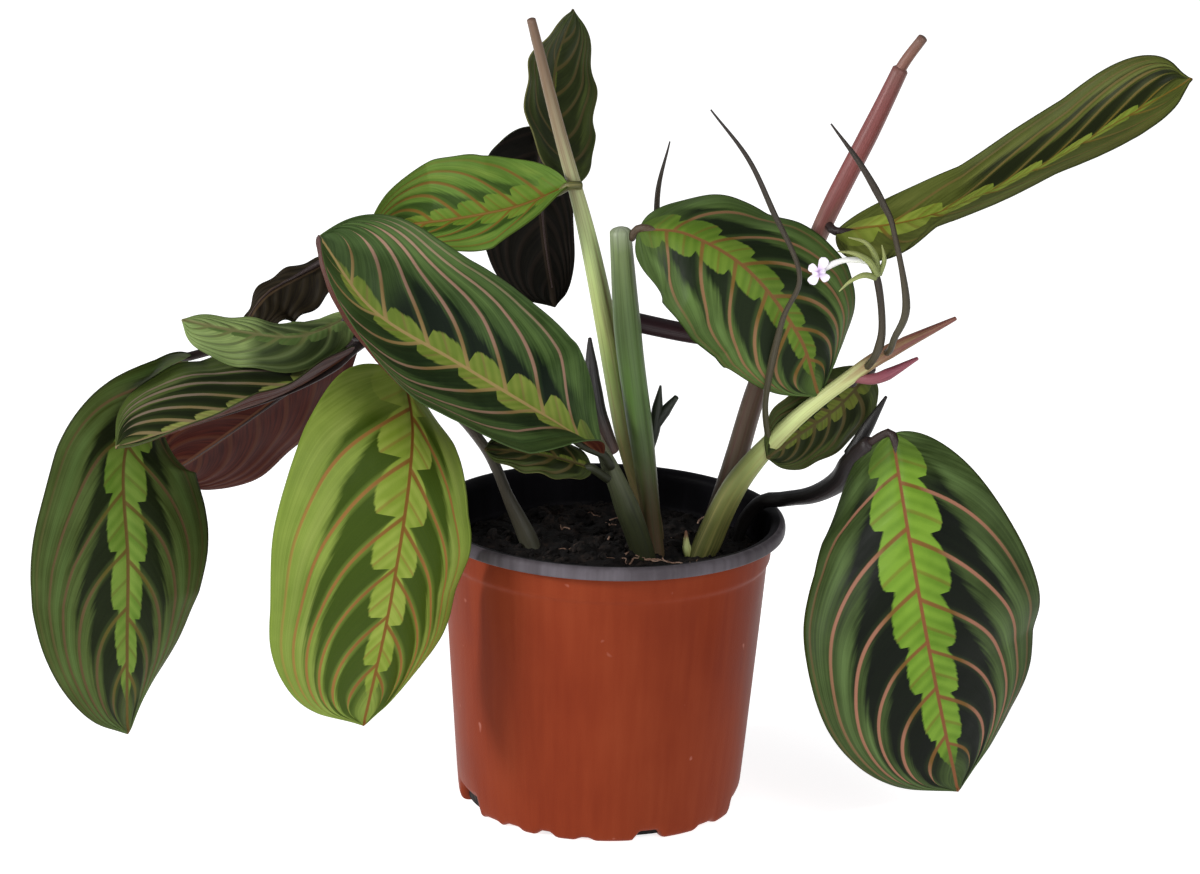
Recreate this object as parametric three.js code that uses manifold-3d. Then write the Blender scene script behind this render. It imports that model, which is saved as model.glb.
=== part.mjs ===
// A prayer plant (maranta) in a round nursery pot. Millimetres, +Z up, front towards -Y.
// The origin is the middle of the flat pad under the pot, on the surface that the pot stands on.
import * as THREE from "three";
import { mergeVertices } from "three/addons/utils/BufferGeometryUtils.js";
import Module from "manifold-3d";

const wasm = await Module();
wasm.setup();

// Driving dimensions of the pot and its soil
const RIM_RADIUS = 60;
const POT_HEIGHT = 100;
const FOOT_RADIUS = 47;
const WALL = 1.3;
const SOIL_LEVEL = 88;
const CLEARANCE = 0.3;

// Driving dimensions of every blade
const BLADE_THICKNESS = 0.8;
const BLADE_ROWS = 12;
const BLADE_HALF_COLUMNS = 3;
const FULLNESS = 2.15;
const PEAK = [1.12, 1.12];
const LOBE_PULL = 1.6;
const LOBE_BEND = 1.3;
const DRIP_WIDTH = 0.3;
const WAVE_COUNT = 3.5;
const WAVE_START = [0.37, 0];
const WAVE_BEND = 2.5;
const JOINT_RADII = [1.5, 1.7, 1.5, 0.9];
const STALK_SINK = 7;

// Colours of the living plant and its pot
const COLOURS = {
  terracotta: 0x9a4530,
  peat: 0x15110f,
  leafGreen: 0x3f6a2c,
  leafBright: 0x7fa234,
  stemGreen: 0x8f9d5c,
  stemRed: 0x7a4540,
  stemDark: 0x2a1f22,
  petal: 0xe6dcef,
};

const vector = (p) => new THREE.Vector3(p[0], p[1], p[2]);

function material(colour, roughness) {
  return new THREE.MeshStandardMaterial({ color: colour, roughness, metalness: 0 });
}

// Joins and cuts
function toSolid(geometry) {
  const bare = geometry.clone();
  bare.deleteAttribute("normal");
  bare.deleteAttribute("uv");
  const merged = mergeVertices(bare, 1e-4);
  const mesh = new wasm.Mesh({
    numProp: 3,
    vertProperties: new Float32Array(merged.attributes.position.array),
    triVerts: new Uint32Array(merged.index.array),
  });
  return new wasm.Manifold(mesh);
}

function largestPiece(solid) {
  const pieces = solid.decompose();
  pieces.sort((a, b) => b.volume() - a.volume());
  return pieces[0];
}

function toGeometry(solid) {
  const mesh = largestPiece(solid).getMesh();
  const geometry = new THREE.BufferGeometry();
  geometry.setAttribute("position", new THREE.BufferAttribute(new Float32Array(mesh.vertProperties), 3));
  geometry.setIndex(new THREE.BufferAttribute(new Uint32Array(mesh.triVerts), 1));
  geometry.computeVertexNormals();
  return geometry;
}

function closedGeometry(positions, triangles) {
  const geometry = new THREE.BufferGeometry();
  geometry.setAttribute("position", new THREE.Float32BufferAttribute(positions.flat(), 3));
  geometry.setIndex(triangles.flat());
  return geometry;
}

// A stem: round rings of changing radius along a smooth route, closed at both ends
function stemGeometry({ route, radii, sides = 8, steps = 10 }, grow = 0) {
  const curve = new THREE.CatmullRomCurve3(route.map(vector), false, "catmullrom", 0.5);
  const frames = curve.computeFrenetFrames(steps, false);
  const positions = [];
  const triangles = [];
  for (let i = 0; i <= steps; i += 1) {
    const t = i / steps;
    const centre = curve.getPointAt(t);
    if (i === 0) {
      centre.addScaledVector(frames.tangents[0], -grow);
    }
    if (i === steps) {
      centre.addScaledVector(frames.tangents[steps], grow);
    }
    const radius = valueAlong(radii, t) + grow;
    for (let j = 0; j < sides; j += 1) {
      const angle = (2 * Math.PI * j) / sides;
      const point = centre.clone();
      point.addScaledVector(frames.normals[i], radius * Math.cos(angle));
      point.addScaledVector(frames.binormals[i], radius * Math.sin(angle));
      positions.push(point.toArray());
    }
  }
  for (let i = 0; i < steps; i += 1) {
    for (let j = 0; j < sides; j += 1) {
      const a = i * sides + j;
      const b = i * sides + ((j + 1) % sides);
      triangles.push([a, b, b + sides]);
      triangles.push([a, b + sides, a + sides]);
    }
  }
  const last = steps * sides;
  for (let j = 1; j < sides - 1; j += 1) {
    triangles.push([0, j + 1, j]);
    triangles.push([last, last + j, last + j + 1]);
  }
  return closedGeometry(positions, triangles);
}

function valueAlong(values, t) {
  const place = t * (values.length - 1);
  const i = Math.min(Math.floor(place), values.length - 2);
  return values[i] + (values[i + 1] - values[i]) * (place - i);
}

function stemSolid(stem, grow = 0) {
  return stem.branches
    .map((branch) => toSolid(stemGeometry(branch, grow)))
    .reduce((sum, piece) => sum.add(piece));
}

// A blade: its midrib is a smooth curve, its two halves are arcs that stand off the midrib
// by a fold angle and then bend by a curl angle, and its base is drawn back into two lobes.
// A higher peak moves the widest place towards the tip, and a higher full makes the ends rounder.
function halfWidth(u, peak, full) {
  const x = Math.abs(1 - 2 * u ** peak);
  return Math.max(0, 1 - x ** full) ** (1 / full);
}

function bladePoint(leaf, curve, length, u, v) {
  const { sides, half, fold, curl, peak = PEAK, full = FULLNESS, lobe = 0.07, drip = 0.02, wave = 1 } = leaf;
  const k = v >= 0 ? 1 : 0;
  const width = halfWidth(u, peak[k], full);
  const reach = Math.abs(v);
  let along = u - lobe * LOBE_PULL * (1 - u) ** 3 * width * reach ** LOBE_BEND;
  if (u > 0.5) {
    along += drip * Math.max(0, 1 - width / DRIP_WIDTH) ** 2;
  }
  const inside = THREE.MathUtils.clamp(along, 0, 1);
  const tangent = curve.getTangentAt(inside);
  const point = curve.getPointAt(inside).addScaledVector(tangent, (along - inside) * length);
  const place = inside * (sides.length - 1);
  const i = Math.min(Math.floor(place), sides.length - 2);
  const side = vector(sides[i]).lerp(vector(sides[i + 1]), place - i);
  side.addScaledVector(tangent, -side.dot(tangent)).normalize();
  const up = side.clone().cross(tangent);
  const start = THREE.MathUtils.degToRad(fold[k]);
  const bend = THREE.MathUtils.degToRad(Math.abs(curl[k]) < 1 ? 1 : curl[k]);
  const across = (Math.sin(start + bend * reach) - Math.sin(start)) / bend;
  const rise = (Math.cos(start) - Math.cos(start + bend * reach)) / bend;
  const phase = WAVE_COUNT * u + WAVE_START[k];
  const fade = Math.sqrt(Math.max(0, Math.sin(Math.PI * u)));
  const ripple = wave * Math.sin(2 * Math.PI * phase) * reach ** WAVE_BEND * fade;
  point.addScaledVector(side, Math.sign(v) * half[k] * width * across);
  point.addScaledVector(up, half[k] * width * rise + ripple);
  return point;
}

function bladeGeometry(leaf) {
  const curve = new THREE.CatmullRomCurve3(leaf.rib.map(vector), false, "catmullrom", 0.5);
  const length = curve.getLength();
  const columns = 2 * BLADE_HALF_COLUMNS + 1;
  const rows = [];
  for (let i = 1; i < BLADE_ROWS; i += 1) {
    const u = 0.5 - 0.5 * Math.cos((Math.PI * i) / BLADE_ROWS);
    const row = [];
    for (let j = 0; j < columns; j += 1) {
      row.push(bladePoint(leaf, curve, length, u, j / BLADE_HALF_COLUMNS - 1));
    }
    rows.push(row);
  }
  const points = rows.flat();
  const base = points.length;
  points.push(bladePoint(leaf, curve, length, 0, 0));
  points.push(bladePoint(leaf, curve, length, 1, 0));
  const faces = [];
  for (let i = 0; i < rows.length - 1; i += 1) {
    for (let j = 0; j < columns - 1; j += 1) {
      const a = i * columns + j;
      const b = a + columns;
      if (j < BLADE_HALF_COLUMNS) {
        faces.push([a, a + 1, b], [a + 1, b + 1, b]);
      } else {
        faces.push([a, a + 1, b + 1], [a, b + 1, b]);
      }
    }
  }
  const lastRow = (rows.length - 1) * columns;
  for (let j = 0; j < columns - 1; j += 1) {
    faces.push([base, j + 1, j]);
    faces.push([base + 1, lastRow + j, lastRow + j + 1]);
  }
  const rim = [base];
  for (let i = 0; i < rows.length; i += 1) {
    rim.push(i * columns + columns - 1);
  }
  rim.push(base + 1);
  for (let i = rows.length - 1; i >= 0; i -= 1) {
    rim.push(i * columns);
  }
  const normals = points.map(() => new THREE.Vector3());
  for (const [a, b, c] of faces) {
    const ab = points[b].clone().sub(points[a]);
    const ac = points[c].clone().sub(points[a]);
    const normal = ab.cross(ac);
    normals[a].add(normal);
    normals[b].add(normal);
    normals[c].add(normal);
  }
  const positions = [];
  for (const sign of [0.5, -0.5]) {
    points.forEach((point, i) => {
      const offset = normals[i].clone().normalize().multiplyScalar(sign * BLADE_THICKNESS);
      positions.push(point.clone().add(offset).toArray());
    });
  }
  const count = points.length;
  const triangles = [];
  for (const [a, b, c] of faces) {
    triangles.push([a, b, c]);
    triangles.push([a + count, c + count, b + count]);
  }
  for (let i = 0; i < rim.length; i += 1) {
    const a = rim[i];
    const b = rim[(i + 1) % rim.length];
    triangles.push([a, a + count, b]);
    triangles.push([b, a + count, b + count]);
  }
  return closedGeometry(positions, triangles);
}

// The swollen joint at the blade's base: it starts outside the stem and runs in under the midrib
function jointGeometry(leaf) {
  const curve = new THREE.CatmullRomCurve3(leaf.rib.map(vector), false, "catmullrom", 0.5);
  const length = curve.getLength();
  const route = [...leaf.from, leaf.rib[0], curve.getPointAt(STALK_SINK / length).toArray()];
  return stemGeometry({ route, radii: JOINT_RADII, sides: 6, steps: leaf.from.length + 4 });
}

const STEMS = {
  stem_tall_left: {
    colour: COLOURS.stemGreen,
    branches: [
      {
        route: [
          [17, 4, 72], [15, 4, 96], [6, 4, 126], [-2, 5, 163], [-10, 5, 197], [-20, 5, 231],
          [-30, 4, 268],
        ],
        radii: [3.2, 3.6, 4.0, 3.8, 3.2, 2.4, 1.8, 0.7],
        steps: 14,
      },
      {
        route: [[-9, 5, 193], [-13, 16, 206], [-20, 31, 218], [-25, 40, 222]],
        radii: [1.5, 1.3, 1.4],
        sides: 6,
        steps: 6,
      },
    ],
  },
  stem_middle: {
    colour: COLOURS.stemGreen,
    branches: [
      {
        route: [[19, -5, 72], [16.5, -5, 90], [11.5, -5, 124], [5.5, -6, 162], [1.5, -7, 200]],
        radii: [2.6, 3.2, 4.3, 4.6, 3.6],
        steps: 9,
      },
    ],
  },
  stem_short: {
    colour: COLOURS.stemGreen,
    branches: [
      {
        route: [[14, -10, 72], [13, -11, 88], [5, -15, 111], [-3, -19, 130], [-7, -19, 140]],
        radii: [3.2, 3.8, 4.0, 2.6, 0.7],
        steps: 8,
      },
      {
        route: [[1, -14, 126], [-4, -12, 138], [-6, -10, 148], [-7, -8, 157], [-7.5, -7, 163]],
        radii: [2.4, 3.0, 3.0, 2.2, 0.6],
        sides: 6,
        steps: 7,
      },
    ],
  },
  stem_left_runner: {
    colour: COLOURS.stemGreen,
    branches: [
      {
        route: [
          [-22, -2, 74], [-25, -2, 88], [-33, -2, 105], [-41, -2, 122], [-57, 0, 140],
          [-72, 2, 152], [-82, 4, 158],
        ],
        radii: [2.6, 3.2, 1.9, 1.7, 1.7, 2.0, 2.4],
        steps: 12,
      },
      {
        route: [[-57, 0, 140], [-62, -9, 149], [-65, -20, 154], [-67, -30, 157]],
        radii: [1.4, 1.3, 1.4],
        sides: 6,
        steps: 5,
      },
      {
        route: [[-76, 3, 155], [-84, 12, 163], [-92, 22, 170], [-94, 28, 175]],
        radii: [1.4, 1.3, 1.4],
        sides: 6,
        steps: 5,
      },
      {
        route: [[-80, 4, 157], [-96, 8, 158], [-114, 8, 155], [-130, 7, 151]],
        radii: [1.6, 1.4, 1.5],
        sides: 6,
        steps: 6,
      },
    ],
  },
  stem_bright: {
    colour: COLOURS.stemGreen,
    branches: [
      {
        route: [
          [26, -4, 72], [32, -5, 88], [43, -11, 116], [60, -20, 140], [78, -24, 157],
          [90, -24, 166], [112.5, -22, 178],
        ],
        radii: [3.8, 4.6, 4.0, 3.0, 2.4, 2.6, 0.8],
        steps: 13,
      },
      {
        route: [[80, -24, 157], [88, -26, 158], [100.5, -24, 164.5]],
        radii: [1.6, 2.0, 0.6],
        sides: 6,
        steps: 5,
      },
    ],
  },
  stem_tall_right: {
    colour: COLOURS.stemRed,
    branches: [
      {
        route: [
          [30, 8, 72], [34, 7, 90], [42, 7, 117], [49, 8, 144], [60.5, 8, 178], [70, 8, 204],
          [83, 8, 233], [93, 8, 256], [99, 8, 265],
        ],
        radii: [3.0, 3.4, 3.8, 3.6, 3.0, 3.0, 3.2, 3.0, 2.4, 0.7],
        steps: 15,
      },
    ],
  },
  stem_dark_runner: {
    colour: COLOURS.stemDark,
    branches: [
      {
        route: [
          [42, 18, 76], [45, 17, 91], [51, 13, 101.5], [59, 7, 105], [69, -4, 110.5], [77, -13, 118.5],
          [81, -19, 127], [86, -25, 135],
        ],
        radii: [1.8, 2.2, 2.3, 2.3, 2.6, 3.4, 2.2],
        steps: 12,
      },
      {
        route: [[80, -19, 129], [86, -18, 140], [91, -17, 149]],
        radii: [2.6, 2.2, 0.6],
        sides: 6,
        steps: 5,
      },
    ],
  },
  stem_cross: {
    colour: COLOURS.stemDark,
    branches: [
      {
        route: [
          [7, 9, 164.5], [24, 12, 160.5], [49, 17, 155.5], [64, 8, 152.5], [76, -8, 151],
          [80, -15, 153],
        ],
        radii: [3.3, 3.2, 2.4, 1.8, 1.6],
        sides: 6,
        steps: 9,
      },
    ],
  },
};

const SPROUT = {
  branches: [
    {
      route: [[13.5, -1, 122], [15, 0, 130], [15.8, 1, 138], [16.5, 1, 145]],
      radii: [1.2, 1.9, 1.9, 0.4],
      sides: 6,
      steps: 7,
    },
    { route: [[15, 0, 131], [18.5, 1, 136.5], [22, 2, 141]], radii: [1.7, 1.9, 0.9], sides: 6, steps: 5 },
  ],
};

const STALKS = {
  stalk_a: {
    route: [
      [83, -24, 160], [86, -30, 166], [88, -32, 174], [87.5, -31, 184], [85.5, -30, 194],
      [82, -30, 199], [75, -29, 199], [68.5, -28, 196],
    ],
    radii: [1.1, 1.0, 0.9, 0.8, 1.2, 0.6],
  },
  stalk_b: {
    route: [
      [90, -24, 166], [91, -31, 169], [92, -35, 174], [95.5, -36, 186], [90.5, -33, 210],
      [87, -31, 218], [79, -27, 230.5], [69, -22, 242.5],
    ],
    radii: [1.1, 1.0, 0.9, 1.1, 0.9, 0.9, 0.4],
  },
  stalk_c: {
    route: [
      [53, -17, 131], [51, -27, 150], [55, -40, 180], [60, -47, 198], [50.5, -41, 218],
      [42, -37, 234], [29.5, -34, 249],
    ],
    radii: [1.0, 0.8, 0.8, 0.9, 0.4],
  },
  stalk_d: {
    route: [[27, 12, 162], [21, 17, 170], [15, 18, 186], [13.5, 18, 206], [17, 18, 224.5]],
    radii: [0.9, 0.8, 0.7, 0.4],
  },
};

// Every leaf: the midrib from base to tip, the direction of its right half at equal steps along it,
// half widths, fold and curl angles in degrees and peaks as [left, right], and the way in.
const LEAVES = {
  leaf_right_hanging: {
    rib: [[93, -30, 140], [98, -48, 116], [104, -55, 88], [112, -50, 52], [119, -40, 22]],
    sides: [
      [-0.93, 0.17, -0.32], [-0.98, 0.03, -0.22], [-0.86, -0.42, -0.28], [-0.74, -0.56, -0.36],
    ],
    half: [41.7, 42],
    fold: [-2, -13],
    curl: [-10, -31],
    peak: [1.4, 1.2],
    full: 2.05,
    lobe: 0.09,
    from: [[86, -25, 135], [89, -27, 138]],
  },
  leaf_front_light: {
    rib: [[-68, -38, 158], [-64, -56, 144], [-66, -68, 116], [-71, -68, 81], [-77.5, -61, 46]],
    sides: [[-0.8, -0.46, 0.38], [-0.86, -0.44, 0.25], [-0.81, -0.59, 0.07], [-0.78, -0.63, -0.04]],
    half: [36, 43.5],
    fold: [-4, -7],
    curl: [-25, -9],
    peak: [1.8, 1.17],
    full: 2.2,
    lobe: 0.09,
    colour: COLOURS.leafBright,
    from: [[-67.4, -30, 157.4]],
  },
  leaf_left_hanging: {
    rib: [
      [-140, 5, 149], [-150, -6, 144], [-160, -22, 122], [-158, -30, 88], [-158, -30, 57],
      [-158, -24, 28],
    ],
    sides: [[0.53, -0.68, 0.5], [-0.61, -0.71, 0.35], [-0.78, -0.62, 0.01], [-0.36, -0.91, -0.2]],
    half: [31.5, 34.5],
    fold: [22, -17],
    curl: [-22, 1],
    peak: [0.8, 1.34],
    full: 1.7,
    lobe: 0.02,
    from: [[-132, 7, 151]],
  },
  leaf_left_folded: {
    rib: [[-87, -3, 154], [-106, -17, 145], [-133, -32, 138], [-160, -42, 131]],
    sides: [[0.1, 0.85, 0.5], [0.1, 0.8, 0.55], [0, 0.55, 0.75]],
    half: [18, 31],
    fold: [55, -5],
    curl: [20, -25],
    peak: [1.12, 0.9],
    from: [[-83, 2, 156]],
  },
  leaf_front_striped: {
    rib: [[-2, -24, 128], [-20, -38, 144], [-52, -55, 168], [-78, -62, 186], [-96, -55, 208]],
    sides: [[-0.3, 0.8, 0.3], [0.41, 0.39, 0.83], [0.39, 0.43, 0.81], [0.63, 0.72, 0.29]],
    half: [43.4, 34.3],
    fold: [35, 8],
    curl: [42, 50],
    peak: [2.2, 1.62],
    full: 2.6,
    lobe: 0,
    drip: 0,
    from: [[1, -22, 123]],
  },
  leaf_front_small: {
    rib: [[-6, -26, 124], [-17, -33, 129], [-29, -37, 132], [-40, -39, 133]],
    sides: [[0.2, 0.8, 0.5], [0.2, 0.8, 0.5], [0.2, 0.8, 0.5]],
    half: [7, 11],
    fold: [-5, -5],
    curl: [-20, -20],
    from: [[0, -22, 119]],
  },
  leaf_left_dark: {
    rib: [[-95, 30, 177], [-105, 27, 172], [-116, 23, 166], [-123, 18, 157]],
    sides: [[0, -0.8, -0.6], [0, -0.8, -0.6], [0, -0.8, -0.6]],
    half: [9, 13],
    fold: [20, 20],
    curl: [10, 10],
    from: [[-94, 28, 176]],
  },
  leaf_left_back: {
    rib: [[-87, 0, 166], [-104, -9, 161], [-124, -5, 161], [-142, 2, 162]],
    sides: [[0, 0.9, 0.3], [0, 0.9, 0.3], [0, 0.9, 0.3]],
    half: [12, 7],
    fold: [-28, 5],
    curl: [-35, 5],
    wave: 0.7,
    from: [[-82.5, 3.8, 160.4]],
  },
  leaf_upper_bright: {
    rib: [[-16, 0, 213], [-33, 5, 204], [-55, 15, 196], [-70, 22, 192], [-82, 28, 188]],
    sides: [[-0.02, 0.86, 0.5], [-0.11, 0.51, 0.85], [0.08, 0.63, 0.78], [-0.52, -0.68, 0.52]],
    half: [17.5, 21.5],
    fold: [25, 27],
    curl: [12, 11],
    peak: [0.82, 1],
    full: 1.75,
    lobe: 0,
    from: [[-12, 1, 213]],
  },
  leaf_upper_under: {
    rib: [[-26, 44, 221], [-26, 54, 199], [-24, 56, 179], [-20, 52, 158]],
    sides: [[1, 0.2, 0], [1, 0.2, 0], [1, 0.2, 0]],
    half: [21, 11],
    fold: [5, 5],
    curl: [5, 5],
    from: [[-25, 40, 222]],
  },
  leaf_top: {
    rib: [[-14, 14, 210], [-21, 32, 224], [-22, 46, 242], [-17, 52, 259]],
    sides: [[0.85, 0.49, -0.2], [0.71, 0.58, -0.4], [0.63, 0.64, -0.45], [0.38, 0.84, -0.4]],
    half: [18.7, 17.5],
    fold: [11, 11],
    curl: [3, 5],
    peak: [1, 1.5],
    full: 2.05,
    from: [[-12, 9, 206]],
  },
  leaf_middle: {
    rib: [[8, -10, 202], [24, -20, 203], [44, -30, 194], [61, -32, 173], [68, -24, 152]],
    sides: [
      [-0.35, -0.64, -0.69], [-0.56, -0.62, -0.55], [-0.79, -0.26, -0.55],
      [-0.79, -0.44, -0.43],
    ],
    half: [30.5, 30],
    fold: [-13, -10],
    curl: [-16, -37],
    peak: [1.15, 1.24],
    lobe: 0.09,
    from: [[5, -8, 198]],
  },
  leaf_upper_right: {
    rib: [[73, 1, 200], [103, -8, 209], [134, -18, 227], [165, -26, 249], [183, -30, 262]],
    sides: [
      [-0.03, -0.78, -0.62], [-0.25, -0.96, -0.13], [-0.16, -0.98, -0.13],
      [0.03, -0.95, -0.31],
    ],
    half: [25.6, 30.5],
    fold: [-11, 3],
    curl: [76, 8],
    peak: [1.9, 1.17],
    full: 2.35,
    lobe: 0.02,
    wave: 0.5,
    from: [[70, 7, 201]],
  },
  leaf_right_small: {
    rib: [[85, -10, 154], [75, -12, 143], [62, -16, 134], [53, -20, 128]],
    sides: [[-0.5, -0.2, 0.8], [-0.5, -0.2, 0.8], [-0.5, -0.2, 0.8]],
    half: [14, 14],
    fold: [0, 0],
    curl: [-15, -15],
    from: [[86, -12, 157]],
  },
  leaf_left_under: {
    rib: [[-83, 18, 156], [-108, 24, 133], [-133, 28, 112], [-150, 30, 99]],
    sides: [[0.5, 0.5, -0.6], [0.5, 0.5, -0.6], [0.5, 0.5, -0.6]],
    half: [24, 31],
    fold: [5, 5],
    curl: [10, 10],
    peak: [1.12, 2.2],
    from: [[-81, 5, 157], [-81, 11, 158]],
  },
};

// The pot: one thin wall, turned, with its foot ring cut by drain slots and small notches
const POT_SEGMENTS = 40;
const POT_PROFILE = [
  [0, 0],
  [28, 0],
  [30, 2.6],
  [39, 2.6],
  [40.5, 0],
  [FOOT_RADIUS - 1.6, 0],
  [FOOT_RADIUS, 1.4],
  [FOOT_RADIUS + 0.5, 4],
  [54.2, 85.5],
  [55.2, 87],
  [55.8, 95.6],
  [59.4, 95.4],
  [RIM_RADIUS, 96.4],
  [RIM_RADIUS, 98.8],
  [59, POT_HEIGHT],
  [57.2, POT_HEIGHT],
  [55.4, 99],
  [54.5, 96],
  [53.9, 87.6],
  [54.2 - WALL, 85.9],
  [FOOT_RADIUS + 0.5 - WALL, 4.2],
  [45, WALL],
  [41.3, WALL],
  [39.6, 2.6 + WALL],
  [29.4, 2.6 + WALL],
  [27.4, WALL],
  [0, WALL],
];
const SLOT_ANGLES = [22, 112, 202, 292];
const SLOT_WIDTH = 7;
const SLOT_HEIGHT = 2.8;
const NOTCH_WIDTH = 2.2;
const NOTCH_HEIGHT = 1.6;
const NOTCH_STEPS = [30, 60];
const SLOT_INNER = 43.5;
const NOTCH_INNER = 44;
const CUT_OUTER = 50;

function cutBlock(angleDegrees, width, height, inner, outer) {
  const block = new THREE.BoxGeometry(width, outer - inner, 2 * height);
  block.translate(0, -(inner + outer) / 2, 0);
  block.rotateZ(THREE.MathUtils.degToRad(angleDegrees));
  return toSolid(block);
}

function potSolid() {
  const profile = POT_PROFILE.map(([r, z]) => new THREE.Vector2(r, z));
  const turned = new THREE.LatheGeometry(profile, POT_SEGMENTS);
  turned.rotateX(Math.PI / 2);
  let pot = toSolid(turned);
  for (const angle of SLOT_ANGLES) {
    pot = pot.subtract(cutBlock(angle, SLOT_WIDTH, SLOT_HEIGHT, SLOT_INNER, CUT_OUTER));
    for (const step of NOTCH_STEPS) {
      pot = pot.subtract(cutBlock(angle + step, NOTCH_WIDTH, NOTCH_HEIGHT, NOTCH_INNER, CUT_OUTER));
    }
  }
  return pot;
}

// The soil: it fills the pot to a rough top, and each stem stands in its own hole
const SOIL_SEGMENTS = 28;
const SOIL_PROFILE = [
  [0, WALL + CLEARANCE],
  [27.1, WALL + CLEARANCE],
  [29.1, 2.6 + WALL + CLEARANCE],
  [39.9, 2.6 + WALL + CLEARANCE],
  [41.6, WALL + CLEARANCE],
  [44.6, WALL + CLEARANCE],
  [45.8, 4.3],
  [52.4, 84],
  [50.5, SOIL_LEVEL - 2],
  [44, SOIL_LEVEL - 0.5],
  [33, SOIL_LEVEL],
  [20, SOIL_LEVEL + 1],
  [9, SOIL_LEVEL + 1],
  [0, SOIL_LEVEL + 1],
];

const SOIL_SWELL = { height: 1.1, step: [0.31, 0.27], start: [0.7, -0.4] };
const SOIL_RIPPLE = { height: 0.6, step: [0.6, -0.5] };

function soilRelief(x, y) {
  const { height, step, start } = SOIL_SWELL;
  const swell = height * Math.sin(step[0] * x + start[0]) * Math.cos(step[1] * y + start[1]);
  return swell + SOIL_RIPPLE.height * Math.sin(SOIL_RIPPLE.step[0] * x + SOIL_RIPPLE.step[1] * y);
}

function soilSolid() {
  const profile = SOIL_PROFILE.map(([r, z]) => new THREE.Vector2(r, z));
  const turned = new THREE.LatheGeometry(profile, SOIL_SEGMENTS);
  turned.rotateX(Math.PI / 2);
  const place = turned.attributes.position;
  for (let i = 0; i < place.count; i += 1) {
    const [x, y, z] = [place.getX(i), place.getY(i), place.getZ(i)];
    if (z > SOIL_LEVEL - 1) {
      place.setZ(i, z + soilRelief(x, y));
    }
  }
  return toSolid(turned);
}

// The flower: a short tube with four rounded petals
const FLOWER_PLACE = [66.5, -28, 194];
const TUBE_RADIUS = 1.3;
const TUBE_STRETCH = 1.4;
const PETAL_LENGTH = 3.2;
const PETAL_SIZE = [PETAL_LENGTH / 2, 0.9, 1.1];
const PETAL_COUNT = 4;
const PETAL_TURN = 0.5;

function flowerSolid() {
  const tube = new THREE.SphereGeometry(TUBE_RADIUS, 8, 6);
  tube.scale(TUBE_STRETCH, 1, 1);
  let flower = toSolid(tube);
  for (let i = 0; i < PETAL_COUNT; i += 1) {
    const petal = new THREE.SphereGeometry(1, 8, 6);
    petal.scale(...PETAL_SIZE);
    petal.translate(PETAL_LENGTH / 2, 0, 0);
    petal.rotateY((i * 2 * Math.PI) / PETAL_COUNT + PETAL_TURN);
    flower = flower.add(toSolid(petal));
  }
  return flower.translate(FLOWER_PLACE);
}

const ROUGHNESS = { stem: 0.45, stalk: 0.5, petal: 0.6, leaf: 0.4, pot: 0.55, peat: 0.95 };
const plant = new THREE.Group();

function addPiece(name, solid, colour, roughness) {
  const mesh = new THREE.Mesh(toGeometry(solid), material(colour, roughness));
  mesh.name = name;
  plant.add(mesh);
}

// Stems are set out in order: each later one is trimmed clear of those before it
const grownStems = [];
for (const [name, stem] of Object.entries(STEMS)) {
  let solid = stemSolid(stem);
  for (const other of grownStems) {
    solid = solid.subtract(other);
  }
  grownStems.push(stemSolid(stem, CLEARANCE));
  addPiece(name, solid, stem.colour, ROUGHNESS.stem);
}
for (const [name, stalk] of Object.entries(STALKS)) {
  const branch = { ...stalk, sides: 6, steps: 9 };
  let solid = toSolid(stemGeometry(branch));
  for (const other of grownStems) {
    solid = solid.subtract(other);
  }
  grownStems.push(toSolid(stemGeometry(branch, CLEARANCE)));
  addPiece(name, solid, COLOURS.stemDark, ROUGHNESS.stalk);
}

let sprout = stemSolid(SPROUT);
for (const other of grownStems) {
  sprout = sprout.subtract(other);
}
grownStems.push(stemSolid(SPROUT, CLEARANCE));
addPiece("sprout", sprout, COLOURS.stemDark, ROUGHNESS.stalk);

const allStems = grownStems.reduce((sum, piece) => sum.add(piece));
addPiece("flower", flowerSolid().subtract(allStems), COLOURS.petal, ROUGHNESS.petal);

for (const [name, leaf] of Object.entries(LEAVES)) {
  const solid = toSolid(bladeGeometry(leaf)).add(toSolid(jointGeometry(leaf))).subtract(allStems);
  addPiece(name, solid, leaf.colour ?? COLOURS.leafGreen, ROUGHNESS.leaf);
}

addPiece("pot", potSolid(), COLOURS.terracotta, ROUGHNESS.pot);
addPiece("soil", soilSolid().subtract(allStems), COLOURS.peat, ROUGHNESS.peat);

export default plant;
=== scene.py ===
# %% [markdown]
# # A prayer plant in its nursery pot
#
# The plant is a maranta: broad leaves with a lime band along the midrib, nearly black blotches
# between arching red veins, and a burgundy underside. The stems are thin and wrapped in sheaths.
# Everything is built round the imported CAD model, in metres, with the front of the pot towards -Y.

# %% Load the frame
import math
import random

import bmesh
import bpy
from mathutils import Matrix, Vector, noise


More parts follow.
